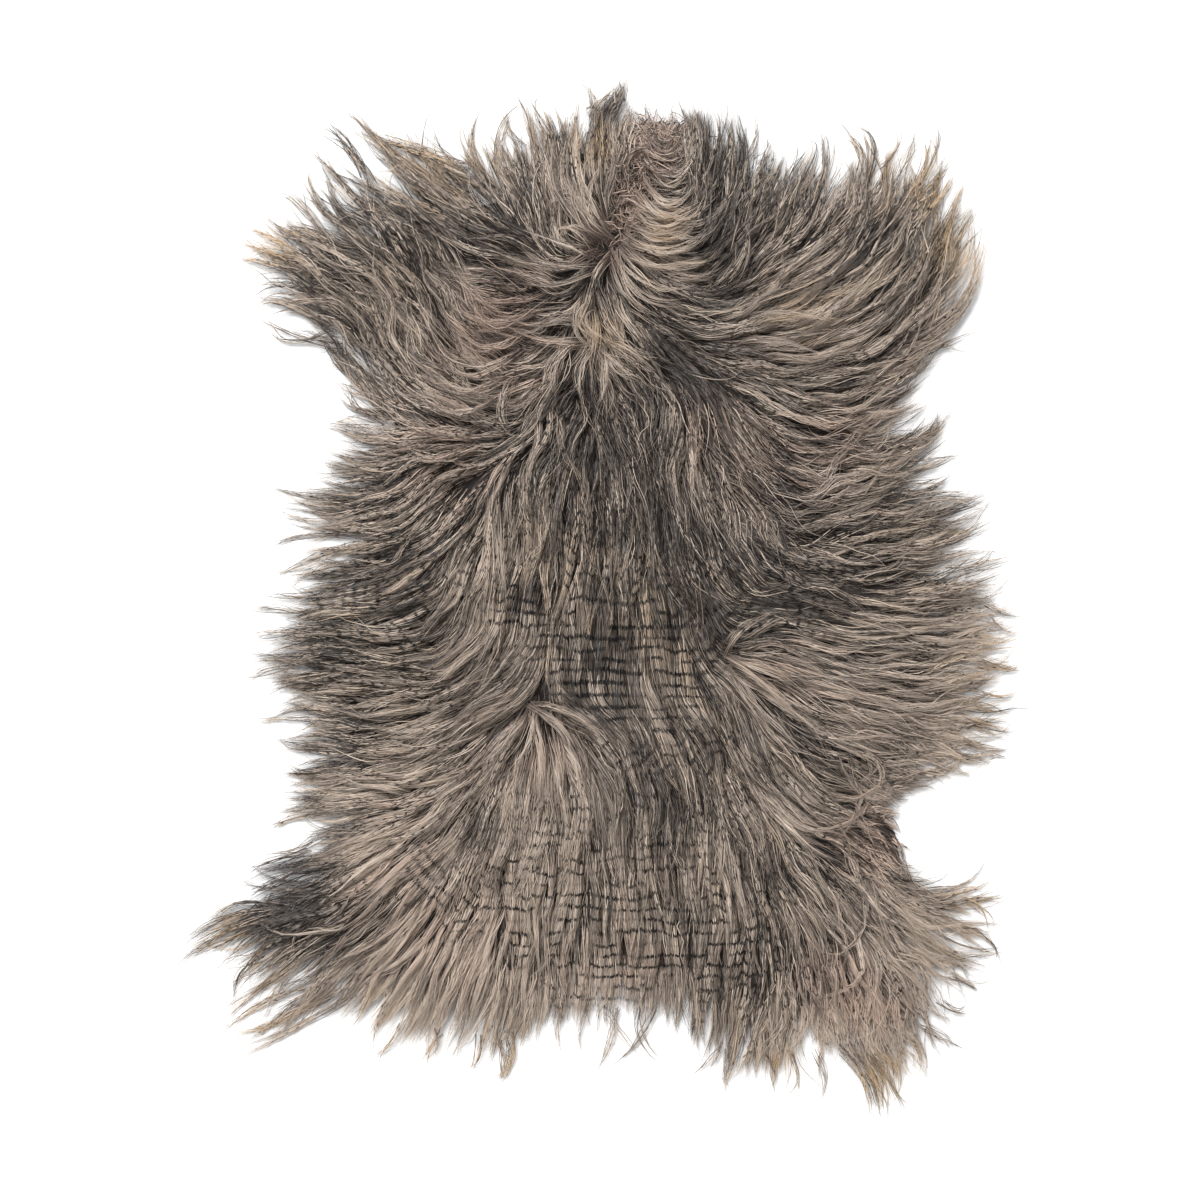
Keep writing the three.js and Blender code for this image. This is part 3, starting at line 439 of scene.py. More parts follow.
class CoatSizes(bpy.types.PropertyGroup):
    """Sizes of the coat that a user may change."""

    seed: IntProperty(name="Seed", description="Start of the random numbers", default=7)
    wisp_spacing: FloatProperty(
        name="Wisp spacing", description="Distance between wisps on the skin", default=0.0155,
        unit="LENGTH",
    )
    hairs: IntProperty(name="Hairs", description="Hairs in a wisp", default=20)
    hair_width: FloatProperty(
        name="Hair width", description="Width of one modelled hair", default=0.00066, unit="LENGTH"
    )
    hair_length: FloatProperty(
        name="Hair length", description="Usual length of the hair", default=0.115, unit="LENGTH"
    )
    pile_height: FloatProperty(
        name="Pile height", description="Height of the combed coat", default=0.032, unit="LENGTH"
    )
    dash_pitch: FloatProperty(
        name="Dash pitch", description="Distance between rows of dashes", default=0.0117,
        unit="LENGTH",
    )


class CoatColours(bpy.types.PropertyGroup):
    """Colours that a user may change."""

    pale: FloatVectorProperty(
        name="Pale hair", description="Palest hair", default=(0.53, 0.433, 0.352), subtype="COLOR"
    )
    taupe: FloatVectorProperty(
        name="Taupe hair", description="Usual hair", default=(0.213, 0.172, 0.14), subtype="COLOR"
    )
    dark: FloatVectorProperty(
        name="Dark hair", description="Hair in the dark parts", default=(0.0165, 0.0135, 0.012),
        subtype="COLOR",
    )
    dash: FloatVectorProperty(
        name="Dash", description="Dashes across the hair", default=(0.010, 0.0078, 0.007),
        subtype="COLOR",
    )
    leather: FloatVectorProperty(
        name="Leather", description="Tanned leather", default=(0.03, 0.02, 0.016), subtype="COLOR"
    )


class StageSettings(bpy.types.PropertyGroup):
    """The light on the skin and the floor it lies on."""

    lens: FloatProperty(name="Lens", description="Focal length in mm", default=85.0)
    lamp_power: FloatProperty(name="Lamp", description="Power of the main lamp in W", default=760.0)
    fill: FloatProperty(name="Fill", description="Strength of the light all round", default=0.6)
    floor: FloatVectorProperty(
        name="Floor", description="Colour of the floor", default=(0.9, 0.9, 0.9), subtype="COLOR"
    )


def from_plan(xy):
    """Metres in the row's frame from mm in the plan."""
    return np.asarray(xy, float) / 1000 + PLAN_SHIFT


def from_picture(xy):
    """Metres in the row's frame from mm across and down the picture."""
    xy = np.asarray(xy, float)
    return from_plan(np.stack((xy[:, 0] - PICTURE_MIDDLE[0], PICTURE_MIDDLE[1] - xy[:, 1]), 1))


def directions(angles):
    """Unit vectors for angles in radians."""
    return np.stack((np.cos(angles), np.sin(angles)), -1)


def headings(degrees):
    """Unit vectors for angles in degrees."""
    return directions(np.radians(degrees))


def turned(vectors, angle):
    """The vectors turned anticlockwise by an angle in radians."""
    c, s = np.cos(angle), np.sin(angle)
    x, y = vectors[..., 0], vectors[..., 1]
    return np.stack((c * x - s * y, s * x + c * y), -1)


def unit(vectors):
    """The vectors at length 1."""
    return vectors / np.maximum(np.linalg.norm(vectors, axis=-1, keepdims=True), 1e-9)


def smooth(low, high, value):
    """0 below low, 1 above high and an S curve between them."""
    part = np.clip((value - low) / (high - low), 0, 1)
    return part * part * (3 - 2 * part)


def closed_curve(points, steps):
    """A closed curve through the points, with steps between each two."""
    before, here = np.roll(points, 1, 0), points
    after, far = np.roll(points, -1, 0), np.roll(points, -2, 0)
    t = (np.arange(steps) / steps)[None, :, None]
    a, b, c, d = (part[:, None, :] for part in (before, here, after, far))
    curve = 0.5 * (
        2 * b + (c - a) * t + (2 * a - 5 * b + 4 * c - d) * t**2 + (3 * b - a - 3 * c + d) * t**3
    )
    return curve.reshape(-1, points.shape[1])


def read_grid(values, low, across, along):
    """Values of a grid between its points: the lower point of each place, and the shares past it."""
    i, j = low[..., 0], low[..., 1]
    near = values[i, j] * (1 - across) + values[i + 1, j] * across
    far = values[i, j + 1] * (1 - across) + values[i + 1, j + 1] * across
    return near * (1 - along) + far * along


class Field:
    """Values on a square grid over the floor, read between its points."""

    cell = 0.005
    half = (0.56, 0.64)

    def __init__(self, maker):
        across = np.arange(-self.half[0], self.half[0] + self.cell, self.cell)
        along = np.arange(-self.half[1], self.half[1] + self.cell, self.cell)
        self.size = (len(across), len(along))
        grid = np.stack(np.meshgrid(across, along, indexing="ij"), -1).reshape(-1, 2)
        values = np.asarray(maker(grid))
        self.values = values.reshape(self.size + values.shape[1:])

    def at(self, points):
        """The field at the points."""
        place = (points + np.array(self.half)) / self.cell
        place = np.clip(place, 0, np.array(self.size) - 1.001)
        low = place.astype(int)
        part = place - low
        if self.values.ndim > 2:
            part = part[..., None]
            return read_grid(self.values, low, part[..., 0, :], part[..., 1, :])
        return read_grid(self.values, low, part[..., 0], part[..., 1])


def edge_distance(grid, outline):
    """Distance to a closed outline, positive inside it, and the number of its nearest point."""
    tiny = 1e-12
    nearest = np.full(len(grid), np.inf)
    which = np.zeros(len(grid), int)
    within = np.zeros(len(grid), bool)
    ahead = np.roll(outline, -1, 0)
    for k, (a, b) in enumerate(zip(outline, ahead)):
        side = b - a
        share = np.clip(((grid - a) @ side) / max(side @ side, tiny), 0, 1)
        apart = np.linalg.norm(grid - a - share[:, None] * side, axis=1)
        closer = apart < nearest
        nearest[closer] = apart[closer]
        which[closer] = k
        crossing = (a[1] > grid[:, 1]) != (b[1] > grid[:, 1])
        rise = side[1] if abs(side[1]) > tiny else tiny
        within ^= crossing & (grid[:, 0] < a[0] + (grid[:, 1] - a[1]) * side[0] / rise)
    return np.where(within, nearest, -nearest), which


def spots(rows, grid):
    """The sum of round soft spots of the given rows, at the grid's points."""
    softness = 0.75
    rows = np.array(rows, float)
    middles = from_picture(rows[:, :2])
    total = np.zeros(len(grid))
    for middle, radius, amount in zip(middles, rows[:, 2] / 1000, rows[:, 3]):
        apart = np.sum((grid - middle) ** 2, 1)
        total += amount * np.exp(-apart / (2 * (softness * radius) ** 2))
    return total


def combed(grid):
    """The way the hair lies, from the chart's rows and the rim's."""
    blur = 0.012
    chart = np.array(COMBING, float)
    rim = np.array(RIM, float)
    places = np.concatenate((from_picture(chart[:, :2]), from_plan(rim[:, :2])))
    ways = np.concatenate((headings(chart[:, 2]), headings(rim[:, 3])))
    total = np.zeros((len(grid), 2))
    for place, way in zip(places, ways):
        apart = np.sum((grid - place) ** 2, 1)
        total += way / (apart + blur**2)[:, None] ** 2
    return unit(total)


def soft_noise(rng, points, size):
    """Smooth random values from -1 to 1 that change over about size metres."""
    span = 1.6
    cells = int(span / size) + 4
    lattice = rng.uniform(-1, 1, (cells, cells))
    place = points / size + cells / 2
    low = np.floor(place).astype(int)
    part = place - low
    part = part * part * (3 - 2 * part)
    return read_grid(lattice, low, part[..., 0], part[..., 1])


def fixed_noise(seed, points, size):
    """Soft noise that depends only on its seed, not on what was drawn before."""
    return soft_noise(np.random.default_rng(seed), points, size)


def skin_outline():
    """The outline of the CAD skin's upper face, in order round it."""
    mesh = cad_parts["skin"].data
    corners = np.array([v.co for v in mesh.vertices])
    top = corners[:, 2].max()
    keys = [tuple(np.round(c[:2], 6)) for c in corners]
    sides = {}
    for face in mesh.polygons:
        if all(abs(corners[v][2] - top) < 1e-5 for v in face.vertices):
            for a, b in face.edge_keys:
                pair = (keys[a], keys[b])
                back = (keys[b], keys[a])
                if back in sides or pair in sides:
                    sides.pop(back, None)
                    sides.pop(pair, None)
                else:
                    sides[pair] = True
    links = {}
    for a, b in sides:
        links.setdefault(a, []).append(b)
        links.setdefault(b, []).append(a)
    start = next(iter(links))
    loop = [start]
    last, here = None, start
    while True:
        onward = [n for n in links[here] if n != last]
        last, here = here, onward[0]
        if here == start:
            break
        loop.append(here)
    return np.array(loop)


class Charts:
    """All the fields that the coat is grown from."""

    # How strongly the tones and how finely the rim's curve are taken from their rows.
    tone_strength = 1.42
    rim_steps = 6

    def __init__(self):
        rim = np.array(RIM, float)
        ends = np.concatenate((from_plan(rim[:, :2]), rim[:, 2:3] / 1000), 1)
        curve = closed_curve(ends, self.rim_steps)
        self.skin = skin_outline()

        def rim_maker(grid):
            apart, which = edge_distance(grid, curve[:, :2])
            return np.stack((apart, np.maximum(curve[which, 2], 0)), 1)

        self.rim = Field(rim_maker)
        self.leather = Field(lambda grid: edge_distance(grid, self.skin)[0])
        self.way = Field(combed)
        east = np.gradient(self.way.values[..., 0], Field.cell, axis=0)
        north = np.gradient(self.way.values[..., 1], Field.cell, axis=1)
        self.parting = Field(lambda grid: (east + north).reshape(-1))
        self.tone = Field(lambda grid: self.tone_strength * spots(TONES, grid))
        self.tint = Field(lambda grid: spots(TINTS, grid))
        self.dashes = Field(lambda grid: spots(DASHES, grid))
        self.rows = Field(lambda grid: np.clip(spots(ROWS, grid), 0, 1))
        self.sleek = Field(lambda grid: np.clip(spots(SLEEK, grid), 0, 1))
        self.curl = Field(lambda grid: np.clip(spots(CURLS, grid), 0, 1))

    def pile(self, points, height):
        """The coat's height at the points: full inside, thin at the rim and nothing past it."""
        depth = self.rim.at(points)[..., 0]
        inner = 0.16 + 0.84 * smooth(0.0, 0.085, depth)
        return height * inner * smooth(-0.045, 0.01, depth)


CHARTS = {}


def charts():
    """The fields, worked out once."""
    if "all" not in CHARTS:
        CHARTS["all"] = Charts()
    return CHARTS["all"]


def floor_grid(across_step, along_step):
    """Points in rows and columns over the floor under the skin."""
    across = np.arange(-SCATTER_HALF[0], SCATTER_HALF[0], across_step)
    along = np.arange(-SCATTER_HALF[1], SCATTER_HALF[1], along_step)
    return np.stack(np.meshgrid(across, along, indexing="ij"), -1)


def scattered_roots(rng, spacing):
    """Roots scattered over the skin, denser where the hair parts and thinner where it meets."""
    densest = 3
    margin = 0.003
    finer = spacing / math.sqrt(densest)
    grid = floor_grid(finer, finer * 0.866)
    grid[:, 1::2, 0] += finer / 2
    roots = grid.reshape(-1, 2)
    roots = roots + rng.uniform(-0.45, 0.45, roots.shape) * finer
    wanted = np.clip(1 + 0.05 * charts().parting.at(roots), 0.6, densest) / densest
    chosen = rng.uniform(0, 1, len(roots)) < wanted
    return roots[(charts().leather.at(roots) > margin) & chosen]


def covered(roots):
    """1 where hair combed from behind lies over a root, 0 beside a crown or the skin's edge."""
    steps = 9
    step = 0.006
    here = roots.copy()
    within = np.ones(len(roots))
    for _ in range(steps):
        here = here - step * charts().way.at(here)
        within *= charts().leather.at(here) > 0
    return within * smooth(0.03, 0.045, np.linalg.norm(here - roots, axis=1))


def wisp_paths(rng, roots, sizes, reaches, bends):
    """Roots, the middle line of each wisp at even steps, the step, and the length that it keeps."""
    step = 0.006
    count = 34
    shortest = 0.025
    edge_band = 0.09
    bend_run = 0.11
    n = len(roots)
    curl = charts().curl.at(roots)
    lean = np.radians(13) * soft_noise(rng, roots, 0.03) + np.radians(8) * soft_noise(rng, roots, 0.012)
    lean = (lean + rng.normal(0, np.radians(4), n)) * (0.65 + curl)
    lean = lean * (1 - 0.5 * charts().sleek.at(roots))
    wave = np.radians(11 + 30 * curl) * rng.uniform(0.4, 1.2, n)
    wavelength = rng.uniform(0.045, 0.09, n)
    phase = rng.uniform(0, TURN, n) * 0.22 + math.pi * soft_noise(rng, roots, 0.035)
    bend = np.radians(bends) * soft_noise(rng, roots, 0.024) + rng.normal(0, np.radians(bends / 2.5), n)
    length = sizes.hair_length * (1 + 0.2 * soft_noise(rng, roots, 0.04))
    length = length * rng.uniform(0.75, 1.15, n)
    reach = rng.uniform(*reaches, n)

    points = np.zeros((n, count + 1, 2))
    points[:, 0] = roots
    way = turned(charts().way.at(roots), lean)
    outside = np.zeros(n)
    kept = np.full(n, np.inf)
    for k in range(count):
        here = points[:, k]
        run = k * step
        swing = wave * np.sin(TURN * run / wavelength + phase)
        target = turned(charts().way.at(here), lean + swing + bend * (run / bend_run) ** 2)
        way = unit(0.55 * way + 0.45 * target)
        points[:, k + 1] = here + way * step
        rim = charts().rim.at(points[:, k + 1])
        outside += np.where(rim[:, 0] < 0, step, 0)
        tuft = 0.8 + 0.58 * fixed_noise(TUFT_NOISE, points[:, k + 1], 0.019)
        over = (outside > rim[:, 1] * reach * tuft) & np.isinf(kept)
        kept[over] = run + step
    near = charts().rim.at(roots)[:, 0] < edge_band
    length = np.where(near, length * 1.3, length)
    kept = np.clip(np.minimum(length, kept), shortest, count * step)
    return roots, points, np.full(n, step), kept


def placed_paths(rng, rows, hairs, fan):
    """The same for locks of the given rows, each split into parts of so many hairs, and their tones."""
    steps = 24
    fuller = 1.4
    rows = np.array(rows, float)
    rows = np.repeat(rows, np.maximum(np.round(fuller * rows[:, 6] / hairs), 2).astype(int), 0)
    n = len(rows)
    root, middle, tip = (from_picture(rows[:, k : k + 2]) for k in (0, 2, 4))
    root = root + rng.normal(0, 0.0035, (n, 2))
    middle = middle + rng.normal(0, 0.0025, (n, 2))
    tip = tip + rng.normal(0, fan, (n, 2))
    tip = middle + (tip - middle) * rng.uniform(0.75, 1.05, (n, 1))
    pull = 2 * middle - (root + tip) / 2
    t = np.linspace(0, 1, steps + 1)[None, :, None]
    points = root[:, None] * (1 - t) ** 2 + 2 * pull[:, None] * t * (1 - t) + tip[:, None] * t**2
    length = np.sum(np.linalg.norm(np.diff(points, axis=1), axis=2), axis=1)
    return (root, points, length / steps, length), rows[:, 7]


def along_paths(points, step, run):
    """Points on the middle lines at the given runs from their roots."""
    place = np.clip(run / step[:, None, None], 0, points.shape[1] - 1.001)
    low = place.astype(int)
    part = (place - low)[..., None]
    rows = np.arange(len(points)).reshape((-1,) + (1,) * (run.ndim - 1))
    here = points[rows, low] * (1 - part) + points[rows, low + 1] * part
    way = unit(points[rows, low + 1] - points[rows, low])
    return here, way


def per_wisp(values):
    """One value for each wisp, shaped to meet its hairs and their rings."""
    return values[:, None, None]


def grow(rng, sizes, paths, hairs, rings, layer, spreads, gathers, paler=None):
    """Strips for all hairs of the given wisps: corners and their values."""
    roots, points, step, kept = paths
    n = len(roots)
    one_wisp = (n, 1, 1)
    one_hair = (n, hairs, 1)
    layer = per_wisp(layer)
    placed = paler is not None

    # The line of each hair in its wisp, seen from above
    curl = per_wisp(charts().curl.at(roots))
    spread = per_wisp(rng.uniform(*spreads, n))
    angle = rng.uniform(0, TURN, one_hair)
    radius = np.sqrt(rng.uniform(0, 1, one_hair))
    aside = radius * np.cos(angle)
    behind = spread * (radius * np.sin(angle)) * 0.6
    length = per_wisp(kept) * (1 - 0.45 * rng.uniform(0, 1, one_hair) ** 1.8)
    start = np.zeros(one_wisp) if placed else 0.3 * per_wisp(covered(roots))
    t = start + (1 - start) * np.linspace(0, 1, rings)
    run = length * t
    middle, way = along_paths(points, step, run)
    across = np.stack((-way[..., 1], way[..., 0]), -1)
    stray = rng.uniform(0, 1, one_hair) < 0.07 + 0.2 * curl
    close = np.where(stray, rng.uniform(0.6, 1.8, one_hair), rng.uniform(*gathers, one_wisp))
    rim = per_wisp(smooth(0.1, 0.03, charts().rim.at(points[:, -8])[:, 0]))
    sleek = per_wisp(charts().sleek.at(roots)) * (1 - 0.7 * rim)
    close = close + (1 - close) * 0.8 * sleek
    gather = 1 + (close * (1 - 0.6 * rim) - 1) * smooth(0.1, 0.98, t)
    wobble = rng.uniform(0.0002, 0.001, one_hair)
    wavelength = rng.uniform(0.03, 0.07, one_hair)
    phase = rng.uniform(0, 1, one_hair)
    wobble = wobble * np.sin(TURN * (run / wavelength + phase))
    offset = spread * aside * gather + wobble * (1 + 2.5 * stray) * smooth(0, 0.3, t)
    middle = middle + across * offset[..., None]
    middle = middle + way * behind[..., None]

    # Its height over the floor
    pile = charts().pile(middle, sizes.pile_height)
    if placed:
        rise = 0.6 + 0.5 * layer * smooth(0, 0.3, t)
    else:
        high = layer * (1 - 0.6 * sleek) + 0.35 * sleek
        rise = 0.22 + (0.1 + 0.6 * high) * smooth(0, 0.3, (t - start) / (1 - start))
    rise = rise + 0.1 * t
    lump = 1 + 0.2 * fixed_noise(LUMP_NOISE, middle, 0.045)
    crown = 0.0035 * np.sqrt(1 - 0.95 * aside**2) * np.minimum(gather, 1)
    lift = rng.uniform(0, 0.001, one_hair) + 0.002 * stray * t
    fullness = 0.3 + 0.7 * pile / sizes.pile_height
    height = ROOT_HEIGHT + pile * rise * lump + (crown + lift) * fullness
    centre = np.concatenate((middle, height[..., None]), -1)

    # The strip along it, rolled outward over the wisp and narrow at its tip
    lowest = 0.0005
    roll = np.broadcast_to(aside + rng.normal(0, 0.4, one_hair), run.shape)
    side = np.concatenate((across * np.cos(roll)[..., None], -np.sin(roll)[..., None]), -1)
    taper = 1 - smooth(0.6, 1.0, t) * 0.9
    width = sizes.hair_width * rng.uniform(0.65, 1.3, one_hair) * taper
    width = width * (1.3 - 0.4 * layer)
    left = centre + side * width[..., None] / 2
    right = centre - side * width[..., None] / 2
    corners = np.stack((left, right), 3)
    corners[..., 2] = np.maximum(corners[..., 2], lowest)

    # Where dashes cross it: in rows over the coat, or loose from wisp to wisp
    octant = np.round(np.degrees(np.arctan2(way[:, 0, 0, 1], way[:, 0, 0, 0])) / 45) * 45
    heading = headings(octant)[:, None, None, :]
    row = np.sum(heading[:, :, 0] * roots[:, None], -1)[..., None] + behind + run
    loose = 1 - per_wisp(charts().rows.at(roots))
    ahead = np.sum(heading * middle, -1)
    ragged = 0.004 * fixed_noise(RAGGED_NOISE, middle, 0.018)
    row = row * loose + (ahead + ragged) * (1 - loose)
    barred = 1 - loose
    loose = loose * (rng.uniform(0, 1, one_wisp) + rng.uniform(0, 0.9, one_hair))
    loose = loose + rng.normal(0, 0.05, one_wisp) + rng.normal(0, 0.05, one_hair)
    beside = heading[..., 0] * middle[..., 1] - heading[..., 1] * middle[..., 0]
    columns = fixed_noise(COLUMN_NOISE, np.stack((beside, ahead / 4), -1), COLUMN_WIDTH)
    # Painted shade and highlight on each lock: hairs at its sides are darker and those in its middle a
    # little lighter, as light falls on a round lock; less where the hair lies sleek.
    edge = 0.3 * (aside**2 - 0.35) * (1 - sleek)
    lock = 0.5 + (rng.uniform(0, 1, one_wisp) - 0.5) * (1 - 0.6 * sleek)
    some = 0.5 + (rng.uniform(0, 1, one_wisp) - 0.5) * (1 - 0.7 * barred)
    amount = 0.46 + charts().dashes.at(middle) + 0.3 * fixed_noise(DASH_NOISE, middle, 0.035)
    amount = amount + barred * (1.1 * columns - 0.05)

    # Its colours
    tone = 0.7 * charts().tone.at(middle) + 0.3 * per_wisp(charts().tone.at(roots))
    tone = tone + rng.normal(0, 0.2, one_wisp)
    wisp = rng.uniform(0, 1, one_wisp)
    wisp = np.where(barred > 0.5, np.floor(beside / COLUMN_WIDTH + 0.7 * columns) * 0.37 % 1, wisp)
    if placed:
        paler = per_wisp(paler)
        tone = 0.3 * tone - 0.7 * paler
        wisp = 0.5 * wisp + 0.5 * np.clip(0.5 + paler, 0, 1)
    tips = smooth(0.012, -0.02, charts().rim.at(middle)[..., 0])
    # A random tone for each wisp and each hair, less the painted shade at the lock's sides.
    shade = 0.4 * lock + 0.65 * rng.uniform(0, 1, one_hair) - 0.025 - edge
    shade = 0.52 + (shade - 0.52) * (1 - 0.3 * sleek)
    dashed = np.clip((amount - some) * 5 + 0.5, 0, 1) * (rng.uniform(0, 1, one_hair) < 0.85)
    tone = tone + 0.15 * soft_noise(rng, middle, 0.02)
    tint = charts().tint.at(middle) * (1 + tips) + 0.25 * tips + rng.uniform(-0.35, 0.35, one_wisp)
    values = {
        "along": t,
        "shade": shade,
        "rows": row / sizes.dash_pitch + loose,
        "dashed": dashed,
        "tone": tone,
        "tint": tint,
        "wisp": wisp,
    }
    return corners, {label: np.broadcast_to(value, run.shape) for label, value in values.items()}


def strip_mesh(name, corners, values):
    """A mesh of strips, two corners at each ring."""
    n, hairs, rings = corners.shape[:3]
    strips = n * hairs
    base = (np.arange(strips) * rings * 2)[:, None]
    k = np.arange(rings - 1)[None, :] * 2
    quads = np.stack((base + k, base + k + 1, base + k + 3, base + k + 2), -1).reshape(-1, 4)
    mesh = bpy.data.meshes.new(name)
    mesh.vertices.add(strips * rings * 2)
    mesh.vertices.foreach_set("co", corners.astype(np.float32).ravel())
    mesh.loops.add(quads.size)
    mesh.loops.foreach_set("vertex_index", quads.astype(np.int32).ravel())
    mesh.polygons.add(len(quads))
    mesh.polygons.foreach_set("loop_start", (np.arange(len(quads)) * 4).astype(np.int32))
    mesh.polygons.foreach_set("loop_total", np.full(len(quads), 4, np.int32))
    mesh.polygons.foreach_set("use_smooth", np.ones(len(quads), bool))
    flat = corners.reshape(-1, 3)[:, :2]
    low = flat.min(0)
    flat = 0.01 + 0.98 * (flat - low) / (flat.max(0) - low).max()
    chart = mesh.uv_layers.new(name="OFBake")
    chart.data.foreach_set("uv", flat[quads.ravel()].astype(np.float32).ravel())
    for label, value in values.items():
        layer = mesh.attributes.new(label, "FLOAT", "POINT")
        doubled = np.repeat(value.reshape(strips, rings), 2, axis=1)
        layer.data.foreach_set("value", doubled.astype(np.float32).ravel())
    mesh.update(calc_edges=True)
    return mesh


def add_piece(name, mesh, node, material):
    """A shown piece that stands for a CAD node."""
    piece = bpy.data.objects.new(name, mesh)
    bpy.context.scene.collection.objects.link(piece)
    mesh.materials.append(material)
    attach(piece, "root")
    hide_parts(node)
    return piece


# The values at each ring of a hair that its colour is worked out from.
HAIR_VALUES = ("Along", "Shade", "Rows", "Dashed", "Tone", "Tint", "Wisp")


def new_material(name):
    """A material with a Principled BSDF, and its nodes and links."""
    material = bpy.data.materials.new(name)
    material.use_nodes = True
    nodes = material.node_tree.nodes
    return material, nodes, material.node_tree.links, nodes["Principled BSDF"]


def maths(tree, kind, first, second=None, third=None):
    """A Math node whose inputs are sockets or numbers; its output."""
    node = tree.nodes.new("ShaderNodeMath")
    node.operation = kind
    for socket, value in zip(node.inputs, (first, second, third)):
        if value is None:
            continue
        if isinstance(value, bpy.types.NodeSocket):
            tree.links.new(value, socket)
        else:
            socket.default_value = value
    return node.outputs[0]


def between(tree, factor, low, high, start=0.0, end=1.0):
    """A Map Range node from low and high to start and end, smooth; its output."""
    node = tree.nodes.new("ShaderNodeMapRange")
    node.interpolation_type = "SMOOTHSTEP"
    tree.links.new(factor, node.inputs["Value"])
    for label, value in zip(("From Min", "From Max", "To Min", "To Max"), (low, high, start, end)):
        node.inputs[label].default_value = value
    return node.outputs[0]


def blend(tree, factor, first, second):
    """A colour between two colours or sockets; its output."""
    node = tree.nodes.new("ShaderNodeMix")
    node.data_type = "RGBA"
    for label, value in (("Factor_Float", factor), ("A_Color", first), ("B_Color", second)):
        socket = next(s for s in node.inputs if s.identifier == label)
        if isinstance(value, bpy.types.NodeSocket):
            tree.links.new(value, socket)
        else:
            socket.default_value = value if isinstance(value, float) else (*value, 1)
    return next(s for s in node.outputs if s.identifier == "Result_Color")


def dyed_hair_group(colours):
    """The colour of the hair from its own values."""
    tree = bpy.data.node_groups.new("Dyed hair", "ShaderNodeTree")
    for label in HAIR_VALUES:
        tree.interface.new_socket(label, in_out="INPUT", socket_type="NodeSocketFloat")
    tree.interface.new_socket("Color", in_out="OUTPUT", socket_type="NodeSocketColor")
    given = tree.nodes.new("NodeGroupInput").outputs
    put = tree.nodes.new("NodeGroupOutput").inputs
    along, shade, rows = given["Along"], given["Shade"], given["Rows"]
    deepest = (0.03, 0.023, 0.021)
    root_shade_colour = (0.04, 0.024, 0.021)
    golden = (1.0, 0.87, 0.66)
    pinkish = (1.0, 0.9, 0.88)

    # The hair from root to tip, then its dark, pale and tinted places
    # The hair's shade runs from the deepest colour through taupe to pale; its low end also carries the
    # painted shade at the locks' sides.
    hair = blend(tree, between(tree, shade, 0.14, 0.55), deepest, colours.taupe)
    hair = blend(tree, between(tree, shade, 0.45, 0.9), hair, colours.pale)
    # Dark places of the tone chart: the coat's own dark hair, and painted shade in its partings and
    # valleys.
    mixed = maths(tree, "MULTIPLY_ADD", maths(tree, "SUBTRACT", 0.5, shade), 0.9, given["Tone"])
    dark = between(tree, mixed, 0.15, 0.9, 0.0, 0.8)
    grey = tuple(7 * part for part in colours.dark)
    hair = blend(tree, dark, hair, blend(tree, between(tree, shade, 0.25, 0.95), colours.dark, grey))
    pale = between(tree, given["Tone"], 0.0, -0.75, 0.0, 0.7)
    hair = blend(tree, pale, hair, colours.pale)
    for far, tint in ((1.0, golden), (-1.0, pinkish)):
        tinted = blend(tree, 1.0, hair, tint)
        tinted.node.blend_type = "MULTIPLY"
        hair = blend(tree, between(tree, given["Tint"], 0.0, far), hair, tinted)
    # Painted shade: the hair darkens towards its root, which lies under the hair above it and shows in
    # the gaps between wisps.
    root = between(tree, along, 0.0, 0.45, 0.65, 0.0)
    hair = blend(tree, root, hair, root_shade_colour)

    # The dashes, one at each whole number of the rows, some of them left out
    turn = maths(tree, "FRACT", rows)
    swing = maths(tree, "ABSOLUTE", maths(tree, "SUBTRACT", turn, 0.5))
    deep = between(tree, given["Tone"], 0.1, 0.8, 0.0, 1.0)
    swing = maths(tree, "SUBTRACT", swing, maths(tree, "MULTIPLY", deep, 0.07))
    band = between(tree, swing, 0.08, 0.17, 1.0, 0.0)
    chance = tree.nodes.new("ShaderNodeTexWhiteNoise")
    chance.noise_dimensions = "1D"
    which = maths(tree, "MULTIPLY_ADD", given["Wisp"], 97.0, maths(tree, "FLOOR", rows))
    tree.links.new(which, chance.inputs["W"])
    kept = between(tree, chance.outputs["Value"], 0.15, 0.5, 0.2, 1.0)
    dashed = maths(tree, "MAXIMUM", between(tree, given["Dashed"], 0.1, 0.8, 0.0, 1.0), deep)
    dash = maths(tree, "MULTIPLY", band, dashed)
    hair = blend(tree, maths(tree, "MULTIPLY", dash, kept), hair, colours.dash)
    tree.links.new(hair, put["Color"])
    return tree


def hair_material(colours):
    """Hair coloured by its group."""
    material, nodes, links, surface = new_material("hair")
    group = nodes.new("ShaderNodeGroup")
    group.node_tree = dyed_hair_group(colours)
    for label in HAIR_VALUES:
        value = nodes.new("ShaderNodeAttribute")
        value.attribute_name = label.lower()
        links.new(value.outputs["Fac"], group.inputs[label])
    links.new(group.outputs["Color"], surface.inputs["Base Color"])
    surface.inputs["Roughness"].default_value = 0.5
    surface.inputs["Specular IOR Level"].default_value = 0.35
    return material


def plain_material(name, colour, roughness):
    """A material of one colour with a little unevenness."""
    material, nodes, links, surface = new_material(name)
    noise = nodes.new("ShaderNodeTexNoise")
    noise.inputs["Scale"].default_value = 60.0
    noise.inputs["Detail"].default_value = 6.0
    where = nodes.new("ShaderNodeTexCoord")
    links.new(where.outputs["Object"], noise.inputs["Vector"])
    tree = material.node_tree
    uneven = between(tree, noise.outputs["Fac"], 0.3, 0.7)
    darker = tuple(0.6 * part for part in colour)
    links.new(blend(tree, uneven, darker, tuple(colour)), surface.inputs["Base Color"])
    surface.inputs["Roughness"].default_value = roughness
    return material


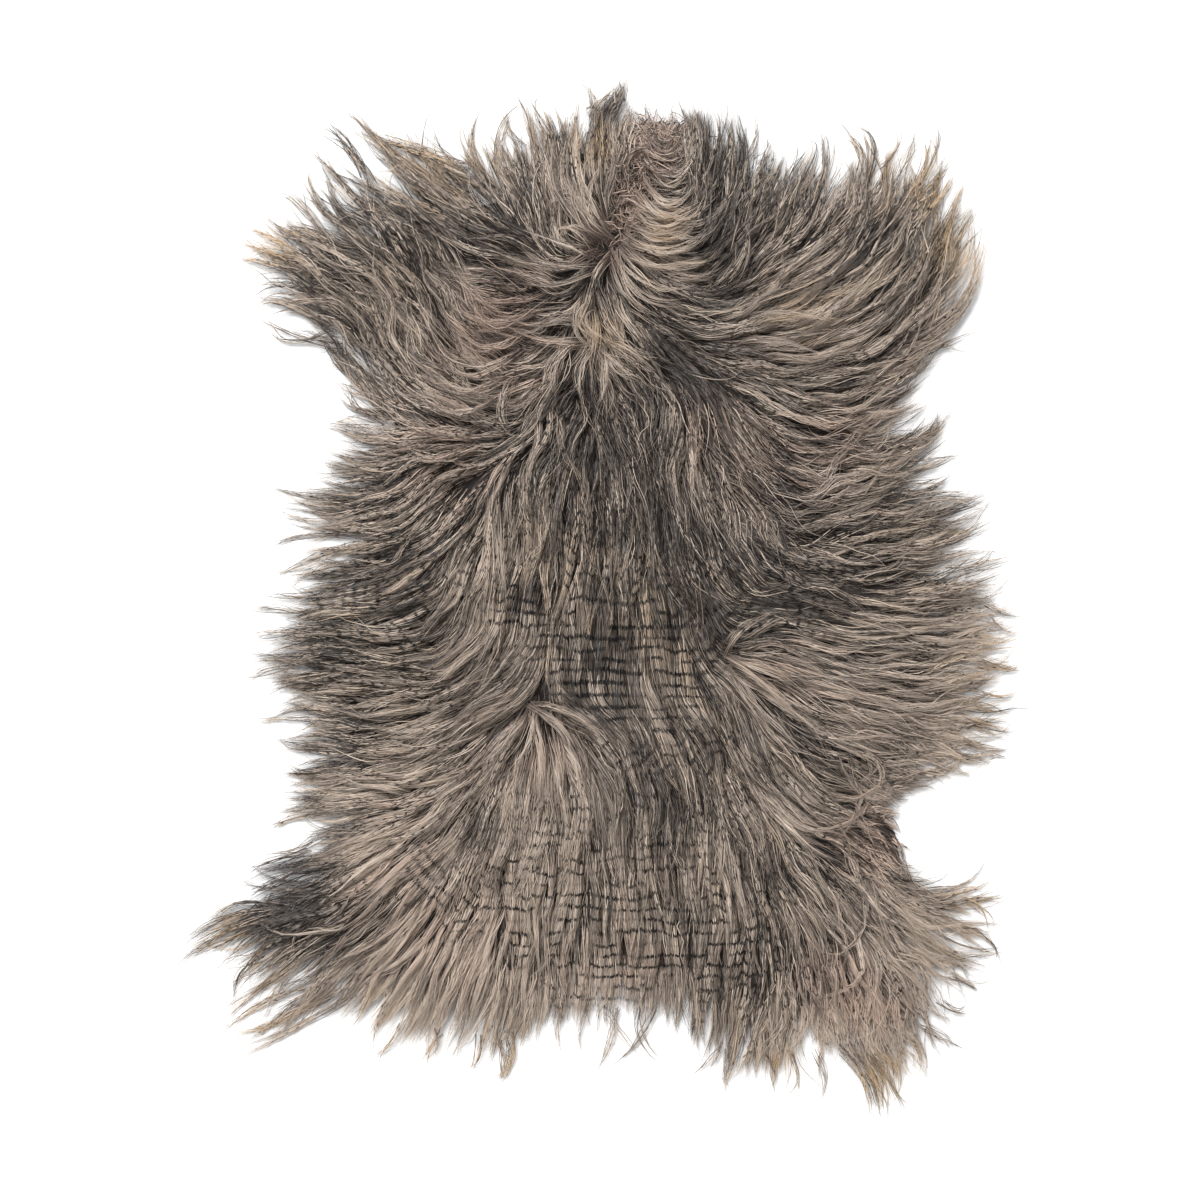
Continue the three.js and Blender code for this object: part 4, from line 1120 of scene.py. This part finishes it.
class GOATSKIN_OT_leather(bpy.types.Operator):
    """Lay the leather on the floor"""

    bl_idname = "goatskin.leather"
    bl_label = "Leather"

    def execute(self, context):
        colours = context.scene.goatskin_colours
        outline = charts().skin
        n = len(outline)
        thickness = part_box("skin")[1].z
        top = [(x, y, thickness) for x, y in outline]
        bottom = [(x, y, 0.0) for x, y in outline]
        sides = [(k, (k + 1) % n, (k + 1) % n + n, k + n) for k in range(n)]
        mesh = bpy.data.meshes.new("leather")
        ends = [tuple(range(n)), tuple(range(2 * n - 1, n - 1, -1))]
        mesh.from_pydata(top + bottom, [], ends + sides)
        mesh.validate()
        material = plain_material("leather", colours.leather, 0.8)
        piece = add_piece("leather", mesh, "skin", material)
        return {"FINISHED"}


class GOATSKIN_OT_underfur(bpy.types.Operator):
    """Grow the short dense fur under the long hair"""

    bl_idname = "goatskin.underfur"
    bl_label = "Underfur"

    def execute(self, context):
        sizes = context.scene.goatskin_sizes
        rng = np.random.default_rng(sizes.seed + 50)
        cell = 0.006
        margin = 0.002
        grid = floor_grid(cell, cell)
        depth = charts().leather.at(grid)
        height = 0.0025 + 0.4 * charts().pile(grid, sizes.pile_height)
        height = height + 0.0015 * soft_noise(rng, grid, 0.012)
        keep = depth > margin
        index = np.full(keep.shape, -1)
        index[keep] = np.arange(keep.sum())
        edge = smooth(margin, 0.02, depth[keep])
        tops = np.column_stack((grid[keep], ROOT_HEIGHT + (height[keep] - ROOT_HEIGHT) * edge))
        a, b, c, d = index[:-1, :-1], index[1:, :-1], index[1:, 1:], index[:-1, 1:]
        whole = (a >= 0) & (b >= 0) & (c >= 0) & (d >= 0)
        upper = np.stack((a[whole], b[whole], c[whole], d[whole]), -1)
        mesh = bpy.data.meshes.new("underfur")
        mesh.from_pydata(tops.tolist(), [], upper.tolist())
        mesh.validate()
        mesh.polygons.foreach_set("use_smooth", np.ones(len(mesh.polygons), bool))
        # The underfur is near black as painted shade for the gaps between the wisps, where it shows.
        material = plain_material("underfur", (0.035, 0.026, 0.022), 0.9)
        add_piece("underfur", mesh, "fleece", material)
        return {"FINISHED"}


class Coat:
    """The long hair's pieces, grown one after another from the same random numbers."""

    def __init__(self, sizes, colours):
        self.sizes = sizes
        self.rng = np.random.default_rng(sizes.seed)
        self.material = hair_material(colours)

    def add(self, name, paths, hairs, rings, layer, spreads, gathers, paler=None, change=None):
        """One shown piece of hair. A change is a value's label, its factor and what is added to it."""
        corners, values = grow(
            self.rng, self.sizes, paths, hairs, rings, layer, spreads, gathers, paler
        )
        if change:
            label, factor, more = change
            values[label] = values[label] * factor + more
        add_piece(name, strip_mesh(name, corners, values), "fleece", self.material)

    def combed(self):
        """The combed coat, wisp by wisp, in its regions; the wisps' roots."""
        roots = scattered_roots(self.rng, self.sizes.wisp_spacing)
        paths = wisp_paths(self.rng, roots, self.sizes, (0.3, 1.0), 32)
        layer = self.rng.uniform(0, 1, len(roots))
        middles = from_plan([row[1:3] for row in REGIONS])
        nearest = np.argmin(np.linalg.norm(roots[:, None] - middles[None], axis=2), axis=1)
        for k, (name, _, _, rings) in enumerate(REGIONS):
            own = np.flatnonzero(nearest == k)
            own = own[np.argsort(layer[own])]
            part = tuple(item[own] for item in paths)
            self.add(name, part, self.sizes.hairs, rings, layer[own], (0.005, 0.0095), (0.3, 0.9))
        return roots

    def rim_wisps(self, roots):
        """Thin wisps that stick out past the rim, two for each root near it."""
        band = 0.075
        roots = np.repeat(roots[charts().rim.at(roots)[:, 0] < band], 2, 0)
        roots = roots + self.rng.uniform(-1, 1, roots.shape) * self.sizes.wisp_spacing / 2
        paths = wisp_paths(self.rng, roots, self.sizes, (0.85, 1.35), 46)
        layer = self.rng.uniform(0, 1, len(roots))
        self.add("rim_wisps", paths, 3, 10, layer, (0.0015, 0.006), (0.05, 0.6))

    def locks(self):
        """The single locks at the rim and on the coat."""
        for name, rows, hairs, height, gathers, fan in (
            ("rim_locks", RIM_LOCKS, 3, 0.8, (0.1, 0.7), 0.006),
            ("inner_locks", INNER_LOCKS, 7, 1.25, (0.25, 0.7), 0.003),
        ):
            paths, paler = placed_paths(self.rng, rows, hairs, fan)
            layer = self.rng.uniform(height - 0.3, height, len(paler))
            self.add(name, paths, hairs, 11, layer, (0.002, 0.0045), gathers, paler)

    def stray_hairs(self):
        """Loose pale hairs that curl over the coat, except where it lies sleek."""
        spacing = 0.026
        roots = scattered_roots(self.rng, spacing)
        roots = roots[charts().sleek.at(roots) < 0.35]
        paths = wisp_paths(self.rng, roots, self.sizes, (0.1, 0.5), 80)
        layer = self.rng.uniform(1.05, 1.3, len(roots))
        change = ("tone", 0.3, -0.5)
        self.add("stray_hairs", paths, 2, 12, layer, (0.003, 0.009), (0.3, 1.6), change=change)

    def frizz(self):
        """Short curled hairs along the neck's parting."""
        count = 900
        steps = 24
        step = 0.0014
        places = np.array(FRIZZ, float)
        which = self.rng.integers(0, len(places) - 1, count)
        share = self.rng.uniform(0, 1, (count, 1))
        roots = from_picture(places[which] * (1 - share) + places[which + 1] * share)
        roots = roots + self.rng.normal(0, 0.006, roots.shape)
        first = self.rng.uniform(0, TURN, (count, 1))
        curl = self.rng.normal(0, 0.1, (count, 1)) + self.rng.normal(0, 0.35, (count, steps))
        run = np.cumsum(directions(first + np.cumsum(curl, axis=1)) * step, axis=1)
        points = roots[:, None] + np.concatenate((np.zeros((count, 1, 2)), run), 1)
        length = np.full(count, step * steps)
        layer = self.rng.uniform(0.1, 0.6, count)
        paths = (roots, points, length / steps, length)
        change = ("tint", 1.0, -1.2)
        self.add("frizz", paths, 1, 9, layer, (0.0001, 0.0005), (0.9, 1.1), change=change)

    def undercoat(self):
        """Sparse hair under the combed coat, darkened as painted shade for the gaps between the wisps,
        in an upper and a lower half.
        """
        spacing = 0.0058
        shorter = 0.7
        roots = scattered_roots(self.rng, spacing)
        paths = wisp_paths(self.rng, roots, self.sizes, (0.1, 0.3), 30)
        # Painted shade: the undercoat's tone is raised so that it darkens the gaps between wisps.
        change = ("tone", 1.0, 0.6)
        for k, own in enumerate((roots[:, 1] > 0, roots[:, 1] <= 0)):
            part = tuple(item[own] for item in paths[:3]) + (paths[3][own] * shorter,)
            layer = self.rng.uniform(-0.1, 0.35, own.sum())
            name = f"undercoat_{k + 1}"
            self.add(name, part, 1, 4, layer, (0.002, 0.004), (0.8, 1.3), change=change)


class GOATSKIN_OT_coat(bpy.types.Operator):
    """Grow all the long hair: the combed coat, rim wisps, locks, stray hairs, frizz and undercoat"""

    bl_idname = "goatskin.coat"
    bl_label = "Coat"

    def execute(self, context):
        coat = Coat(context.scene.goatskin_sizes, context.scene.goatskin_colours)
        roots = coat.combed()
        coat.rim_wisps(roots)
        coat.locks()
        coat.stray_hairs()
        coat.frizz()
        coat.undercoat()
        return {"FINISHED"}


class GOATSKIN_OT_stage(bpy.types.Operator):
    """Set the floor, light and camera"""

    bl_idname = "goatskin.stage"
    bl_label = "Stage"

    def execute(self, context):
        scene = context.scene
        stage = scene.goatskin_stage
        reach = 30
        drop = 0.0002
        mesh = bpy.data.meshes.new("floor")
        edge = [(-reach, -reach, 0), (reach, -reach, 0), (reach, reach, 0), (-reach, reach, 0)]
        mesh.from_pydata(edge, [], [(0, 1, 2, 3)])
        floor = bpy.data.objects.new("floor", mesh)
        floor.location.z = -drop
        scene.collection.objects.link(floor)
        material, _, _, surface = new_material("floor")
        surface.inputs["Base Color"].default_value = (*stage.floor, 1)
        surface.inputs["Roughness"].default_value = 0.9
        mesh.materials.append(material)

        world = bpy.data.worlds.new("soft light")
        world.use_nodes = True
        sky = world.node_tree.nodes["Background"].inputs
        sky["Color"].default_value = (1, 1, 1, 1)
        sky["Strength"].default_value = stage.fill
        scene.world = world

        lamp = bpy.data.lights.new("main lamp", "AREA")
        lamp.shape = "RECTANGLE"
        lamp.size = 4.2
        lamp.size_y = 3.2
        lamp.energy = stage.lamp_power
        light = bpy.data.objects.new("main lamp", lamp)
        light.location = (-2.4, 4.0, 6.2)
        light.rotation_mode = "QUATERNION"
        light.rotation_quaternion = (-light.location).to_track_quat("-Z", "Y")
        scene.collection.objects.link(light)

        lens = bpy.data.cameras.new("camera")
        lens.lens = stage.lens
        lens.sensor_width = 36.0
        camera = bpy.data.objects.new("camera", lens)
        x, y = from_picture(np.array([[600.0, 600.0]]))[0]
        camera.location = (x, y, CAMERA_HEIGHT)
        scene.collection.objects.link(camera)
        scene.camera = camera
        scene.view_settings.view_transform = "Standard"
        return {"FINISHED"}


class GOATSKIN_PT_panel(bpy.types.Panel):
    """The goatskin's settings and steps"""

    bl_label = "Goatskin"
    bl_idname = "GOATSKIN_PT_panel"
    bl_space_type = "VIEW_3D"
    bl_region_type = "UI"
    bl_category = "Goatskin"

    def draw(self, context):
        scene = context.scene
        for group in (scene.goatskin_sizes, scene.goatskin_colours, scene.goatskin_stage):
            for label in group.__annotations__:
                self.layout.prop(group, label)
        for step in STEPS:
            self.layout.operator(step.bl_idname)


STEPS = (GOATSKIN_OT_leather, GOATSKIN_OT_underfur, GOATSKIN_OT_coat, GOATSKIN_OT_stage)
CLASSES = (CoatSizes, CoatColours, StageSettings) + STEPS + (GOATSKIN_PT_panel,)


def register():
    """Register the classes and the scene's settings."""
    for item in CLASSES:
        bpy.utils.register_class(item)
    bpy.types.Scene.goatskin_sizes = PointerProperty(type=CoatSizes)
    bpy.types.Scene.goatskin_colours = PointerProperty(type=CoatColours)
    bpy.types.Scene.goatskin_stage = PointerProperty(type=StageSettings)


def unregister():
    """Take the settings and the classes away again."""
    del bpy.types.Scene.goatskin_stage
    del bpy.types.Scene.goatskin_colours
    del bpy.types.Scene.goatskin_sizes
    for item in reversed(CLASSES):
        bpy.utils.unregister_class(item)


def main():
    """Build the goatskin and its stage."""
    register()
    bpy.ops.goatskin.leather()
    bpy.ops.goatskin.underfur()
    bpy.ops.goatskin.coat()
    bpy.ops.goatskin.stage()


if __name__ == "__main__":
    main()
